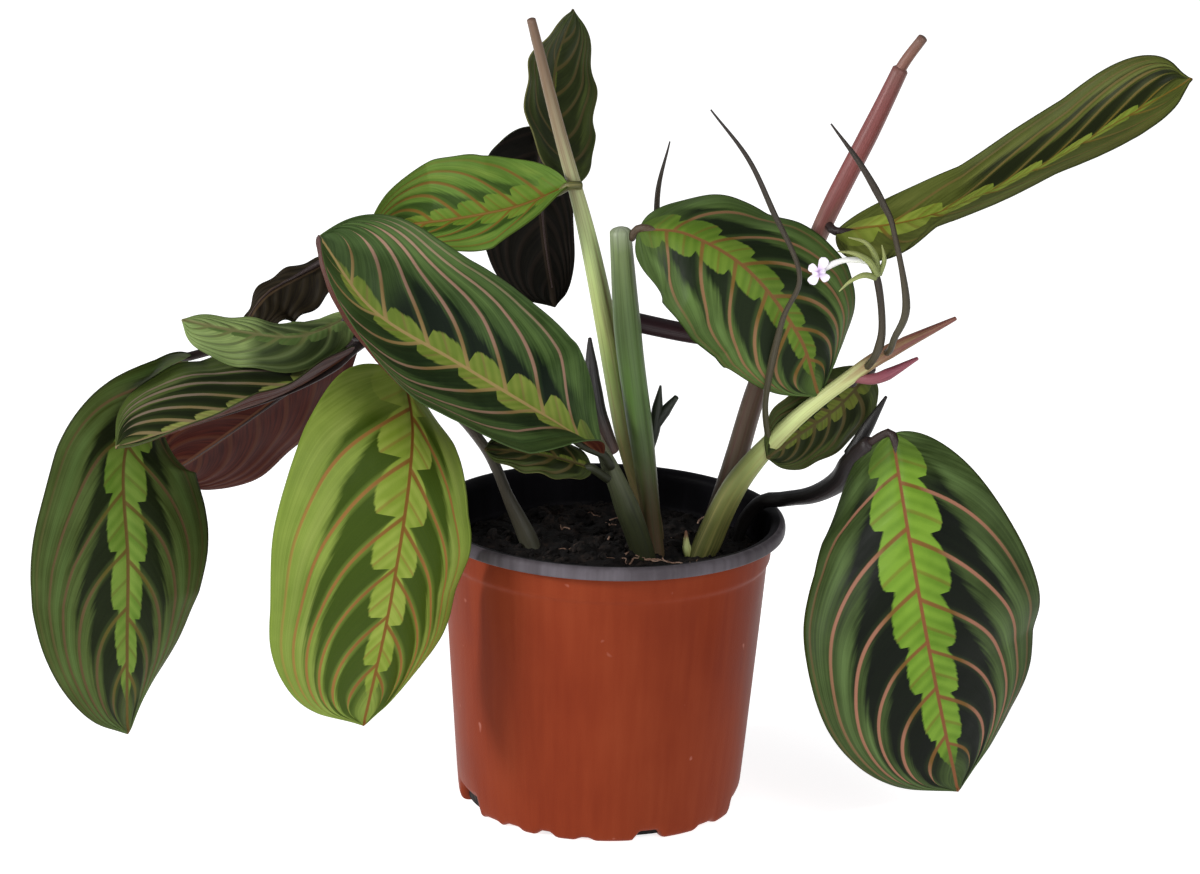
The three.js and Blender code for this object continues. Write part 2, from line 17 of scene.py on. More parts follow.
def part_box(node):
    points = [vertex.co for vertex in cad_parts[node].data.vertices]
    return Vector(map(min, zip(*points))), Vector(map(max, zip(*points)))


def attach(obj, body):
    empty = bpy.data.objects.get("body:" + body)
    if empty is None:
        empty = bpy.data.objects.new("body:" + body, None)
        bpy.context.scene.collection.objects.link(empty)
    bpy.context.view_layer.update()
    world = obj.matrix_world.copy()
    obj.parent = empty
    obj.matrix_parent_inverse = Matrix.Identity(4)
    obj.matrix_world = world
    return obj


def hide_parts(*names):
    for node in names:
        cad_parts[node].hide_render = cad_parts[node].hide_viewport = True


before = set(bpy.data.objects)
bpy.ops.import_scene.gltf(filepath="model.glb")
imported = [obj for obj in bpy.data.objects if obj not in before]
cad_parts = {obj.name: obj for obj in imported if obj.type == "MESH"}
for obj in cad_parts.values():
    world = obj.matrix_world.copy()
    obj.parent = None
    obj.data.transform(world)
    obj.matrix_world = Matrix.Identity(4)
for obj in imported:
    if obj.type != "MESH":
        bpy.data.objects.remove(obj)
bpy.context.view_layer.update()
MM = 0.001

# %% [markdown]
# ## Camera
#
# A long lens from far away gives the flat perspective of a catalogue picture. The camera stands
# 2.5 m off, looks down by 16.8 degrees, and is turned 1.8 degrees about its own axis.

# %% Camera
VIEW_DISTANCE = 2.5
VIEW_TILT = math.radians(16.8)
VIEW_ROLL = math.radians(1.8)
VIEW_TARGET = Vector((-3.1, 0, 126.8)) * MM
LENS = 225
SENSOR = 36


def place_camera():
    """Makes the scene's camera from its tilt, roll and distance."""
    ahead = Vector((0, math.cos(VIEW_TILT), -math.sin(VIEW_TILT)))
    right = Vector((1, 0, 0))
    up = right.cross(ahead)
    turned_right = right * math.cos(VIEW_ROLL) + up * math.sin(VIEW_ROLL)
    turned_up = up * math.cos(VIEW_ROLL) - right * math.sin(VIEW_ROLL)
    turn = Matrix((turned_right, turned_up, -ahead)).transposed().to_4x4()
    bpy.ops.object.camera_add()
    camera = bpy.context.object
    camera.name = "camera"
    camera.data.lens = LENS
    camera.data.sensor_width = SENSOR
    camera.data.clip_end = 20
    camera.matrix_world = Matrix.Translation(VIEW_TARGET - ahead * VIEW_DISTANCE) @ turn
    bpy.context.scene.camera = camera
    return camera


camera = place_camera()
print("camera at", [round(v, 3) for v in camera.location])

# %% [markdown]
# ## Colour and node helpers
#
# Colours are written as they look on a screen, as sRGB hex, and one function makes them linear.
# One function adds a node: its inputs are linked where they are sockets, and set where they are
# plain values. The scale of a texture is written as its grains a millimetre over MM: 0.5 / MM
# gives a grain every 2 mm.


# %% Helpers for materials
def linear(hex_colour):
    """An sRGB hex colour as linear red, green, blue and alpha."""
    parts = [int(hex_colour[i : i + 2], 16) / 255 for i in (1, 3, 5)]
    return (*[p / 12.92 if p <= 0.04045 else ((p + 0.055) / 1.055) ** 2.4 for p in parts], 1)


def add(tree, kind, feeds=(), out=0, **settings):
    """Adds one node with its settings and inputs, and returns the output socket asked for."""
    made = tree.nodes.new("ShaderNode" + kind)
    for key, value in settings.items():
        setattr(made, key, value)
    pairs = feeds.items() if isinstance(feeds, dict) else enumerate(feeds)
    for place, value in pairs:
        if isinstance(value, bpy.types.NodeSocket):
            tree.links.new(value, made.inputs[place])
        else:
            made.inputs[place].default_value = value
    return made.outputs[out]


def new_finish(name, roughness, ior=1.45, specular=0.5):
    """An empty material with its Principled shader, named for the real finish."""
    material = bpy.data.materials.new(name)
    material.use_nodes = True
    shader = material.node_tree.nodes["Principled BSDF"]
    shader.inputs["Roughness"].default_value = roughness
    shader.inputs["IOR"].default_value = ior
    shader.inputs["Specular IOR Level"].default_value = specular
    return material, material.node_tree, shader


def ramp(tree, factor, stops):
    """A colour ramp through hex colours at their places."""
    out = add(tree, "ValToRGB", [factor])
    elements = out.node.color_ramp.elements
    while len(elements) < len(stops):
        elements.new(0.5)
    for element, (place, hex_colour) in zip(elements, stops):
        element.position = place
        element.color = linear(hex_colour)
    return out


# %% [markdown]
# ## Studio
#
# The plant stands on white acrylic that is lit from below, so it throws hardly a shadow. A soft
# box stands at the left, so the front leaf shades the pot, and a larger one at the front right.

# %% Studio
FLOOR_SIZE = 6
FLOOR_GLOW = 0.8
SKY_GLOW = 0.27
KEY_LAMP = {"place": (-2.18, -1.14, 1.12), "size": 0.55, "power": 54}
FILL_LAMP = {"place": (1.1, -2.05, 1.3), "size": 1.2, "power": 28}
PLANT_MIDDLE = Vector((0, 0, 120)) * MM


def soft_light(name, place, size, power):
    """A square lamp that looks at the middle of the plant."""
    bpy.ops.object.light_add(type="AREA", location=place)
    lamp = bpy.context.object
    lamp.name = name
    lamp.data.size = size
    lamp.data.energy = power
    lamp.rotation_euler = (PLANT_MIDDLE - lamp.location).to_track_quat("-Z", "Y").to_euler()
    return lamp


def make_studio():
    """Floor, surroundings and lamps."""
    bpy.ops.object.select_all(action="DESELECT")
    bpy.ops.mesh.primitive_plane_add(size=FLOOR_SIZE)
    floor = bpy.context.object
    floor.name = "floor"
    acrylic, tree, shader = new_finish("lit_white_acrylic", 0.9, specular=0.1)
    place = add(tree, "TexCoord", out=3)
    grain = add(tree, "TexNoise", {"Vector": place, "Scale": 0.9 / MM, "Detail": 2.0})
    tint = ramp(tree, grain, [(0.3, "#e6e6e5"), (0.7, "#eaeaea")])
    tree.links.new(tint, shader.inputs["Base Color"])
    shader.inputs["Emission Color"].default_value = linear("#ffffff")
    shader.inputs["Emission Strength"].default_value = FLOOR_GLOW
    floor.data.materials.append(acrylic)
    world = bpy.data.worlds.new("pale_surroundings")
    world.use_nodes = True
    background = world.node_tree.nodes["Background"]
    background.inputs["Color"].default_value = linear("#f6f8fb")
    background.inputs["Strength"].default_value = SKY_GLOW
    bpy.context.scene.world = world
    soft_light("key_lamp", **KEY_LAMP)
    soft_light("fill_lamp", **FILL_LAMP)
    bpy.context.scene.view_settings.view_transform = "Standard"
    bpy.context.scene.view_settings.look = "None"
    return floor


floor = make_studio()
print("studio:", floor.name, "and", len(bpy.data.lights), "lamps")

# %% [markdown]
# ## Shaping helpers
#
# A stem or a midrib is a smooth line through a few points. A blade or a stem could be sculpted,
# or bent with curve modifiers. Here a primitive grid is set out by a formula instead, because
# one formula then gives the form, the place of every vein and the pattern on the surface.


# %% Smooth lines
class Line:
    """A smooth line through a route's points, read by its share of length from 0 to 1."""

    STEPS = 40

    def __init__(self, route):
        knots = [Vector(place) for place in route]
        knots = [2 * knots[0] - knots[1], *knots, 2 * knots[-1] - knots[-2]]
        raw = []
        for i in range(1, len(knots) - 2):
            before, start, end, after = knots[i - 1 : i + 3]
            leave, arrive = (end - before) / 2, (after - start) / 2
            for k in range(self.STEPS):
                t = k / self.STEPS
                bend = (-3 * start + 3 * end - 2 * leave - arrive) * t**2
                raw.append(start + leave * t + bend + (2 * start - 2 * end + leave + arrive) * t**3)
        raw.append(knots[-2])
        lengths = [0.0]
        for a, b in zip(raw, raw[1:]):
            lengths.append(lengths[-1] + (b - a).length)
        self.length = lengths[-1]
        self.points = []
        k = 0
        count = 8 * self.STEPS
        for i in range(count + 1):
            goal = self.length * i / count
            while k < len(raw) - 2 and lengths[k + 1] < goal:
                k += 1
            share = (goal - lengths[k]) / max(lengths[k + 1] - lengths[k], 1e-12)
            self.points.append(raw[k].lerp(raw[k + 1], share))

    def at(self, t):
        """The point at share t of the length."""
        spot = min(max(t, 0.0), 1.0) * (len(self.points) - 1)
        i = min(int(spot), len(self.points) - 2)
        return self.points[i].lerp(self.points[i + 1], spot - i)

    def heading(self, t):
        """The direction of the line at share t."""
        step = 1 / (len(self.points) - 1)
        return (self.at(t + step) - self.at(t - step)).normalized()


def between(values, t):
    """A value or vector read between the entries of a list, from 0 to 1."""
    spot = min(max(t, 0.0), 1.0) * (len(values) - 1)
    i = min(int(spot), len(values) - 2)
    return values[i] + (values[i + 1] - values[i]) * (spot - i)


def smooth_share(low, high, value):
    """0 at low, 1 at high, and a smooth step between them."""
    t = min(max((value - low) / (high - low), 0.0), 1.0)
    return t * t * (3 - 2 * t)


# %% Grids that are set out by a formula
WELD = 1e-6


def grown_sheet(name, rows, columns, place, notes=()):
    """A primitive grid whose points are set out by place(along, across), each from 0 to 1.

    place returns a point in millimetres and a dictionary with a value for each name in notes.
    """
    bpy.ops.object.select_all(action="DESELECT")
    bpy.ops.mesh.primitive_grid_add(x_subdivisions=rows, y_subdivisions=columns, size=2)
    piece = bpy.context.object
    piece.name = piece.data.name = name
    bpy.ops.object.mode_set(mode="EDIT")
    shape = bmesh.from_edit_mesh(piece.data)
    layers = {note: shape.verts.layers.float.new(note) for note in notes}
    sheet = shape.loops.layers.uv.verify()
    for face in shape.faces:
        for corner in face.loops:
            spot = corner.vert.co
            corner[sheet].uv = ((spot.x + 1) / 2, (spot.y + 1) / 2)
    for vertex in shape.verts:
        spot, values = place((vertex.co.x + 1) / 2, (vertex.co.y + 1) / 2)
        vertex.co = spot * MM
        for note, layer in layers.items():
            vertex[layer] = values[note]
    bmesh.update_edit_mesh(piece.data)
    bpy.ops.mesh.select_all(action="SELECT")
    bpy.ops.mesh.remove_doubles(threshold=WELD)
    bpy.ops.object.mode_set(mode="OBJECT")
    bpy.ops.object.shade_smooth()
    return piece


# %% Finishing a piece
def only(piece):
    """Selects one piece and nothing else, so that the next operator acts on it alone."""
    bpy.ops.object.select_all(action="DESELECT")
    bpy.context.view_layer.objects.active = piece
    piece.select_set(True)


def apply_modifier(piece, kind, **settings):
    """Adds a modifier and applies it at once."""
    only(piece)
    modifier = piece.modifiers.new(kind.lower(), kind)
    for key, value in settings.items():
        setattr(modifier, key, value)
    bpy.ops.object.modifier_apply(modifier=modifier.name)


def join_pieces(name, parts):
    """Joins parts into the first one and gives it its name."""
    bpy.ops.object.select_all(action="DESELECT")
    for part in parts:
        part.select_set(True)
    bpy.context.view_layer.objects.active = parts[0]
    if len(parts) > 1:
        bpy.ops.object.join()
    piece = bpy.context.object
    piece.name = piece.data.name = name
    return piece


def dress(piece, *finishes):
    """Gives a piece its finishes, in place of any that it had."""
    piece.data.materials.clear()
    for finish in finishes:
        piece.data.materials.append(finish)


def hand_over(piece, node):
    """The piece takes the place of its CAD node, which is hidden, and moves with the plant."""
    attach(piece, "root")
    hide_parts(node)
    print(piece.name, "faces:", len(piece.data.polygons))


# %% [markdown]
# ## Pot
#
# A nursery pot is thermoformed from a polypropylene sheet that is terracotta outside and black
# inside, and the lip is rolled outwards, so it shows the black. The pot could be made from a
# cylinder. Its outline is extruded point by point and spun instead, because every step of a
# mould-made pot is then a point of the outline, and a subdivision softens the corners as drawn
# plastic does. The foot is pressed up into rounded arches, and drain slots are cut through it.

# %% Pot sizes
POT_TOP_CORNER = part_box("pot")[1]
RIM_RADIUS = POT_TOP_CORNER.x / MM
POT_HEIGHT = POT_TOP_CORNER.z / MM
FOOT_RADIUS = 47
WALL = 1.1
LIP_UNDERSIDE = 95.6
RING_RISE = 2.6
POT_SEGMENTS = 72
POT_PROFILE = [
    (0, 0), (26, 0), (28.4, 0.2), (30, RING_RISE), (38.8, RING_RISE), (40.6, 0.2), (43, 0),
    (FOOT_RADIUS - 1.7, 0), (FOOT_RADIUS - 0.1, 1.2), (FOOT_RADIUS + 0.5, 4), (50.2, 36),
    (53.2, 72), (54.1, 84.6), (54.25, 85.7), (55.1, 86.9), (55.3, 88), (55.8, 95.3),
    (56.2, LIP_UNDERSIDE), (58.6, 95.4), (59.7, 95.6), (RIM_RADIUS, 96.4), (RIM_RADIUS, 98.6),
    (59.3, 99.7), (58, POT_HEIGHT), (56.6, 99.9), (55.3, 99.1), (54.7, 97.5), (54.5, 95),
    (54, 88.2), (53.8, 87.2), (53, 86), (52.9, 84.6), (52, 72), (49.1, 36), (46.4, 4.4),
    (45.2, WALL + 0.3), (43, WALL), (40.9, WALL + 0.2), (39.2, RING_RISE + WALL),
    (29.6, RING_RISE + WALL), (27.8, WALL + 0.2), (26, WALL), (0, WALL),
]
# Each arch: its middle and width in degrees, from the front towards +X, and its height
ARCHES = [
    (-68, 22, 5.5), (-50, 12, 0.8), (-38, 11, 1.2), (-22, 9, 1.7), (-5, 8, 1.0), (22, 13, 3.1),
    (52, 14, 1.3), (86, 32, 4.0), (112, 14, 3.1), (142, 12, 1.6), (172, 12, 1.6), (202, 14, 3.1),
    (232, 12, 1.6), (250, 12, 1.6),
]
# Only the foot outside this radius and below this height is pressed up
ARCH_ZONE = (36, 9)
ARCH_EDGE = 3
DRAIN_ANGLES = [22, 112, 202]
DRAIN_SIZE = (7, 3, 3)
DRAIN_BEVEL = 0.6
CREASE_ANGLE = 42
FLOOR_ZONE = 20
print("pot:", round(2 * RIM_RADIUS, 1), "mm across and", round(POT_HEIGHT, 1), "mm high")


# %% Spin the pot
def spun_pot():
    """Extrudes the outline point by point and spins it once round."""
    bpy.ops.object.select_all(action="DESELECT")
    bpy.ops.mesh.primitive_plane_add(size=MM)
    pot = bpy.context.object
    bpy.ops.object.mode_set(mode="EDIT")
    bpy.ops.mesh.select_all(action="SELECT")
    bpy.ops.mesh.merge(type="CENTER")
    for (r, z), (next_r, next_z) in zip(POT_PROFILE, POT_PROFILE[1:]):
        step = Vector((next_r - r, 0, next_z - z)) * MM
        bpy.ops.mesh.extrude_region_move(TRANSFORM_OT_translate={"value": step})
    bpy.ops.mesh.select_all(action="SELECT")
    bpy.ops.mesh.spin(steps=POT_SEGMENTS, angle=2 * math.pi, center=(0, 0, 0), axis=(0, 0, 1))
    bpy.ops.mesh.select_all(action="SELECT")
    bpy.ops.mesh.remove_doubles(threshold=WELD)
    bpy.ops.mesh.normals_make_consistent(inside=False)
    bpy.ops.object.mode_set(mode="OBJECT")
    return pot


def arch_height(angle):
    """How far the foot's edge is pressed up at an angle from the front towards +X."""
    lift = 0.0
    for centre, width, height in ARCHES:
        off = abs((angle - centre + 180) % 360 - 180)
        lift = max(lift, height * (1 - smooth_share(width / 2 - ARCH_EDGE, width / 2 + 1, off)))
    return lift


def press_arches(pot):
    """Lifts the outer foot between its lobes; the lift dies out towards the wall and the middle."""
    inner, top = ARCH_ZONE
    for vertex in pot.data.vertices:
        x, y, z = vertex.co / MM
        radius = math.hypot(x, y)
        if radius > inner and z < top:
            angle = math.degrees(math.atan2(x, -y))
            weight = smooth_share(inner, inner + 3, radius) * (1 - smooth_share(1.5, top, z))
            vertex.co.z += arch_height(angle) * weight * MM


def cut_drains(pot):
    """Cuts the drain slots through the foot with bevelled blocks."""
    for angle in DRAIN_ANGLES:
        turn = math.radians(angle)
        spot = Vector((math.sin(turn), -math.cos(turn), 0)) * (FOOT_RADIUS - 3) * MM
        bpy.ops.object.select_all(action="DESELECT")
        bpy.ops.mesh.primitive_cube_add(size=MM, location=spot, rotation=(0, 0, turn))
        block = bpy.context.object
        block.scale = DRAIN_SIZE
        bpy.ops.object.transform_apply(location=True, rotation=True, scale=True)
        apply_modifier(block, "BEVEL", width=DRAIN_BEVEL * MM, segments=3)
        apply_modifier(pot, "BOOLEAN", operation="DIFFERENCE", solver="EXACT", object=block)
        bpy.data.objects.remove(block)


pot = spun_pot()
apply_modifier(pot, "SUBSURF", levels=2, render_levels=2)
press_arches(pot)
cut_drains(pot)
print("pot spun:", len(pot.data.polygons), "faces")


# %% [markdown]
# ### Polypropylene
#
# Thermoformed polypropylene is satin. The mould leaves upright drag marks in the terracotta
# outside, and handling adds a few pale scuffs. The black inside is the same plastic, and on the
# lip it is painted grey for the sheen that it reflects, so one function makes all three finishes.


# %% Pot finishes
PLASTIC_TONES = {
    "terracotta": ("#752f19", "#6b2815", "#7d361e", "#a86c5e"),
    "black": ("#141316", "#0e0e10", "#1c1b1f", "#4a4a50"),
    # The lip's grey is a painted reflection: it stands for the sheen that the black plastic shows there
    "lip_painted_sheen": ("#4a4549", "#363236", "#656066", "#a29ca2"),
}
OUTSIDE, INSIDE, LIP = range(3)


def thermoformed_polypropylene(colour, base, deep, pale, scuff):
    """Satin sheet plastic with upright drag marks about 3 mm apart and 70 mm long."""
    name = "thermoformed_polypropylene_" + colour
    material, tree, shader = new_finish(name, 0.46, ior=1.49, specular=0.04)
    place = add(tree, "TexCoord", out=3)
    drawn = add(tree, "Mapping", {0: place, 3: (0.3 / MM, 0.3 / MM, 0.014 / MM)})
    drag = add(tree, "TexNoise", {"Vector": drawn, "Scale": 1.0, "Detail": 3.0})
    cloud = add(tree, "TexNoise", {"Vector": place, "Scale": 0.022 / MM, "Detail": 3.0})
    tone = add(tree, "Math", (drag, 0.35), operation="MULTIPLY")
    tone = add(tree, "Math", (cloud, 0.65, tone), operation="MULTIPLY_ADD")
    tint = ramp(tree, tone, [(0.32, deep), (0.52, base), (0.72, pale)])
    speck = add(tree, "TexNoise", {"Vector": place, "Scale": 0.16 / MM, "Detail": 1.0})
    speck = add(tree, "MapRange", {0: speck, 1: 0.76, 2: 0.8, 3: 0.0, 4: 0.55})
    tint = add(tree, "Mix", {0: speck, 6: tint, 7: linear(scuff)}, out=2, data_type="RGBA")
    tree.links.new(tint, shader.inputs["Base Color"])
    rough = add(tree, "MapRange", {0: cloud, 1: 0.3, 2: 0.7, 3: 0.36, 4: 0.5})
    tree.links.new(rough, shader.inputs["Roughness"])
    # The plastic's own grain is finer, and is drawn about 0.7 mm wide so that it shows
    fine = add(tree, "TexNoise", {"Vector": place, "Scale": 1.5 / MM, "Detail": 2.0})
    height = add(tree, "Math", (drag, 0.6, fine), operation="MULTIPLY_ADD")
    bump = add(tree, "Bump", {"Strength": 0.12, "Distance": 0.4 * MM, "Height": height})
    tree.links.new(bump, shader.inputs["Normal"])
    return material


def finish_of(face):
    """Which finish a face of the pot has, told by its place and by the way it looks."""
    out = Vector((face.center.x, face.center.y, 0)).normalized().dot(face.normal)
    if face.center.z > (LIP_UNDERSIDE - 0.4) * MM:
        return LIP if out > 0.1 else INSIDE
    floor_inside = face.normal.z > 0.5 and face.center.z < FLOOR_ZONE * MM
    wall_inside = out < -0.2 and face.normal.z > -0.2
    return INSIDE if floor_inside or wall_inside else OUTSIDE


dress(pot, *[thermoformed_polypropylene(colour, *tones) for colour, tones in PLASTIC_TONES.items()])
for face in pot.data.polygons:
    face.material_index = finish_of(face)
pot.name = pot.data.name = "nursery_pot"
only(pot)
bpy.ops.object.shade_smooth_by_angle(angle=math.radians(CREASE_ANGLE))
hand_over(pot, "pot")

# %% [markdown]
# ## Soil
#
# The peat is nearly black, damp and crumbly, and it hides its own depth. Its body is one closed
# form with a rough top. Loose crumbs and a few pale fibres are scattered over it, because the
# broken outline of the crumbs is what makes it read as soil.

# %% Soil body
SOIL_LEVEL = 88
SOIL_RADIUS = 52.6
SOIL_FOOT = 45
SOIL_BOTTOM = 1.6
SOIL_TOP_SHARE = 0.9
SOIL_WALL_SHARE = 0.66
SOIL_ROWS = 90
SOIL_COLUMNS = 180


def soil_height(x, y):
    """Height of the peat's top: broad waves, lumps about 6 mm and grit about 2 mm wide."""
    broad = 1.1 * math.sin(0.31 * x + 0.7) * math.cos(0.27 * y - 0.4)
    lumps = 1.6 * noise.noise(Vector((x, y, 3)) * 0.16)
    grit = 0.9 * noise.noise(Vector((x, y, 9)) * 0.55)
    edge = -2.2 * smooth_share(40, SOIL_RADIUS, math.hypot(x, y))
    return SOIL_LEVEL + 0.6 + broad + lumps + grit + edge


def soil_place(along, across):
    """From the middle of the top over its edge, down the wall and in to the middle below."""
    angle = 2 * math.pi * across
    east, north = math.cos(angle), -math.sin(angle)
    if along < SOIL_TOP_SHARE:
        radius = SOIL_RADIUS * along / SOIL_TOP_SHARE
        height = soil_height(radius * east, radius * north)
    else:
        down = (along - SOIL_TOP_SHARE) / (1 - SOIL_TOP_SHARE)
        if down < SOIL_WALL_SHARE:
            share = down / SOIL_WALL_SHARE
            radius = SOIL_RADIUS + (SOIL_FOOT - SOIL_RADIUS) * share
            edge = soil_height(SOIL_RADIUS * east, SOIL_RADIUS * north)
            height = edge + (SOIL_BOTTOM - edge) * share
        else:
            radius = SOIL_FOOT * (1 - down) / (1 - SOIL_WALL_SHARE)
            height = SOIL_BOTTOM
    return Vector((radius * east, radius * north, height)), {}


soil = grown_sheet("peat", SOIL_ROWS, SOIL_COLUMNS, soil_place)
print("peat faces:", len(soil.data.polygons))

# %% Crumbs
CRUMB_COUNT = 620
CRUMB_SMALLEST = 0.55
CRUMB_SPREAD = 1.7
shuffle = random.Random(11)


def crumb_shape():
    """One crumb: a ball of 80 faces with its points pushed about."""
    bpy.ops.object.select_all(action="DESELECT")
    bpy.ops.mesh.primitive_ico_sphere_add(subdivisions=2, radius=MM)
    crumb = bpy.context.object
    for vertex in crumb.data.vertices:
        vertex.co *= 1 + 0.55 * noise.noise(vertex.co / MM * 1.3)
    return crumb


def scatter_crumbs():
    """Copies of the crumb over the peat, small ones everywhere and a few large ones."""
    first = crumb_shape()
    crumbs = []
    for _ in range(CRUMB_COUNT):
        angle = shuffle.uniform(0, 2 * math.pi)
        radius = (SOIL_RADIUS - 1.2) * math.sqrt(shuffle.random())
        x, y = radius * math.cos(angle), radius * math.sin(angle)
        size = CRUMB_SMALLEST + CRUMB_SPREAD * shuffle.random() ** 3
        spot = Vector((x, y, soil_height(x, y) + 0.15 * size)) * MM
        turn = Matrix.Rotation(shuffle.uniform(0, 6.3), 4, Vector((1, shuffle.random(), 0.3)))
        stretch = Matrix.Diagonal((size * shuffle.uniform(1, 1.9), size, 0.7 * size, 1))
        copy = first.copy()
        copy.data = first.data.copy()
        copy.data.transform(Matrix.Translation(spot) @ turn @ stretch)
        bpy.context.scene.collection.objects.link(copy)
        crumbs.append(copy)
    bpy.data.objects.remove(first)
    return join_pieces("peat_crumbs", crumbs)


crumbs = scatter_crumbs()
print("crumbs:", CRUMB_COUNT, "faces:", len(crumbs.data.polygons))


# %% [markdown]
# ### Peat
#
# Damp peat is matt and nearly black. Its grains are drawn about 2 mm wide with finer ones among
# them, and broader patches of about a centimetre make it lighter where it has dried.


# %% Peat finish
def damp_peat():
    """Brown-black grains, matt, with a rough bump."""
    material, tree, shader = new_finish("damp_peat", 0.9, specular=0.25)
    place = add(tree, "TexCoord", out=3)
    grain = add(tree, "TexNoise", {"Vector": place, "Scale": 0.5 / MM, "Detail": 6.0})
    patch = add(tree, "TexNoise", {"Vector": place, "Scale": 0.09 / MM, "Detail": 3.0})
    tone = add(tree, "Math", (grain, patch), operation="MULTIPLY")
    stops = [(0.14, "#070606"), (0.28, "#14100e"), (0.4, "#2a211c"), (0.5, "#4a3c33")]
    tree.links.new(ramp(tree, tone, stops), shader.inputs["Base Color"])
    bump = add(tree, "Bump", {"Strength": 0.9, "Distance": 0.8 * MM, "Height": grain})
    tree.links.new(bump, shader.inputs["Normal"])
    return material


peat = damp_peat()
for piece in (soil, crumbs):
    dress(piece, peat)
    hand_over(piece, "soil")

# %% [markdown]
# ## Stems
#
# A maranta's stem is a thin stalk wrapped in sheaths: each sheath is a rolled leaf foot whose
# free edge runs up the stem as a fine step. A tube of a formula's radius could be a bevelled
# curve, but a grid rolled up along the line also carries that step and its own UV map.

# %% Rolled grids
# Rows of a rounded end, from its pole inwards: their radius and their bulge as shares of the stem's
CAP = [(0.0, 0.4), (0.45, 0.34), (0.8, 0.2), (1.0, 0.0)]
SHEATH_STEP = 0.3


def carried_sides(line, count):
    """A side vector at each row, carried along the line without twisting."""
    sides = []
    side = line.heading(0).orthogonal().normalized()
    for i in range(count + 1):
        heading = line.heading(i / count)
        side = (side - heading * side.dot(heading)).normalized()
        sides.append(side)
    return sides


def grown_stem(name, route, radii, rows=48, columns=20, seam=None):
    """A closed tube of changing radius. seam is the turn, in degrees, of a sheath's free edge."""
    line = Line(route)
    sides = carried_sides(line, rows)
    caps = len(CAP) - 1
    total = rows + 2 * caps

    def place(along, across):
        i = round(along * total)
        if i < caps:
            share, bulge = CAP[i]
            t, bulge = 0.0, -bulge
        elif i > total - caps:
            share, bulge = CAP[total - i]
            t = 1.0
        else:
            share, bulge = 1.0, 0.0
            t = (i - caps) / rows
        heading = line.heading(t)
        side = sides[round(t * rows)]
        other = heading.cross(side)
        radius = between(radii, t)
        angle = 2 * math.pi * across
        if seam is not None:
            turn = ((across - seam / 360 - 0.25 * t) % 1.0) - 0.5
            radius += SHEATH_STEP * (smooth_share(-0.5, 0.0, turn) - 0.5) * (1 - t) ** 0.3
        out = side * math.cos(angle) + other * math.sin(angle)
        point = line.at(t) + heading * (bulge * radius) + out * (radius * share)
        return point, {}

    return grown_sheet(name, total, columns, place)


# %% [markdown]
# ### Fibres
#
# Pale root fibres lie on the peat, three together at the foot of some stems and single ones
# elsewhere. They are thin tubes along short crooked lines that dip into the crumbs here and there.

# %% Fibres
# Each knot: its place and how far its fibres reach
FIBRE_KNOTS = [(5, -14, 9), (13, -15, 7), (31, -17, 5)]
KNOT_FIBRES = 3
SINGLE_FIBRES = 16
FIBRE_ZONE = 44
FIBRE_GRID = (12, 6)


def fibre_route(x, y, reach):
    """A crooked line of five points over the peat."""
    heading = shuffle.uniform(0, 2 * math.pi)
    route = []
    for i in range(5):
        route.append(Vector((x, y, soil_height(x, y) + 0.5 + 0.9 * shuffle.random())))
        heading += shuffle.uniform(-0.8, 0.8)
        x += 0.25 * reach * math.cos(heading)
        y += 0.25 * reach * math.sin(heading)
    return route


def root_fibre_skin():
    """Dry, pinkish-brown root fibre."""
    material, tree, shader = new_finish("root_fibre", 0.8, specular=0.2)
    place = add(tree, "TexCoord", out=3)
    grain = add(tree, "TexNoise", {"Vector": place, "Scale": 0.3 / MM, "Detail": 3.0})
    stops = [(0.3, "#5c4438"), (0.5, "#8a6e5e"), (0.7, "#b89c8a")]
    tree.links.new(ramp(tree, grain, stops), shader.inputs["Base Color"])
    return material


def lay_fibres():
    """A few fibres at the knots and single ones anywhere."""
    spots = [(x, y, reach) for x, y, reach in FIBRE_KNOTS for _ in range(KNOT_FIBRES)]
    for _ in range(SINGLE_FIBRES):
        angle = shuffle.uniform(0, 2 * math.pi)
        radius = FIBRE_ZONE * math.sqrt(shuffle.random())
        spots.append((radius * math.cos(angle), radius * math.sin(angle), shuffle.uniform(4, 9)))
    fibres = []
    for x, y, reach in spots:
        thick = shuffle.uniform(0.18, 0.42)
        route = fibre_route(x, y, reach)
        fibres.append(grown_stem("fibre", route, [thick, thick, 0.1], *FIBRE_GRID))
    fibres = join_pieces("root_fibres", fibres)
    dress(fibres, root_fibre_skin())
    return fibres


hand_over(lay_fibres(), "soil")

# %% [markdown]
# ### Stem skins
#
# The skin is waxy and changes along the stem: brown or dark at the soil, pale green in the
# middle and pink towards the tips. Fine ribs run along it about half a millimetre apart. It could
# be painted, but a noise rolled round the stem with the grid's own UV map makes ribs of any length.

# %% Stem finish
RIBS_AROUND = 26


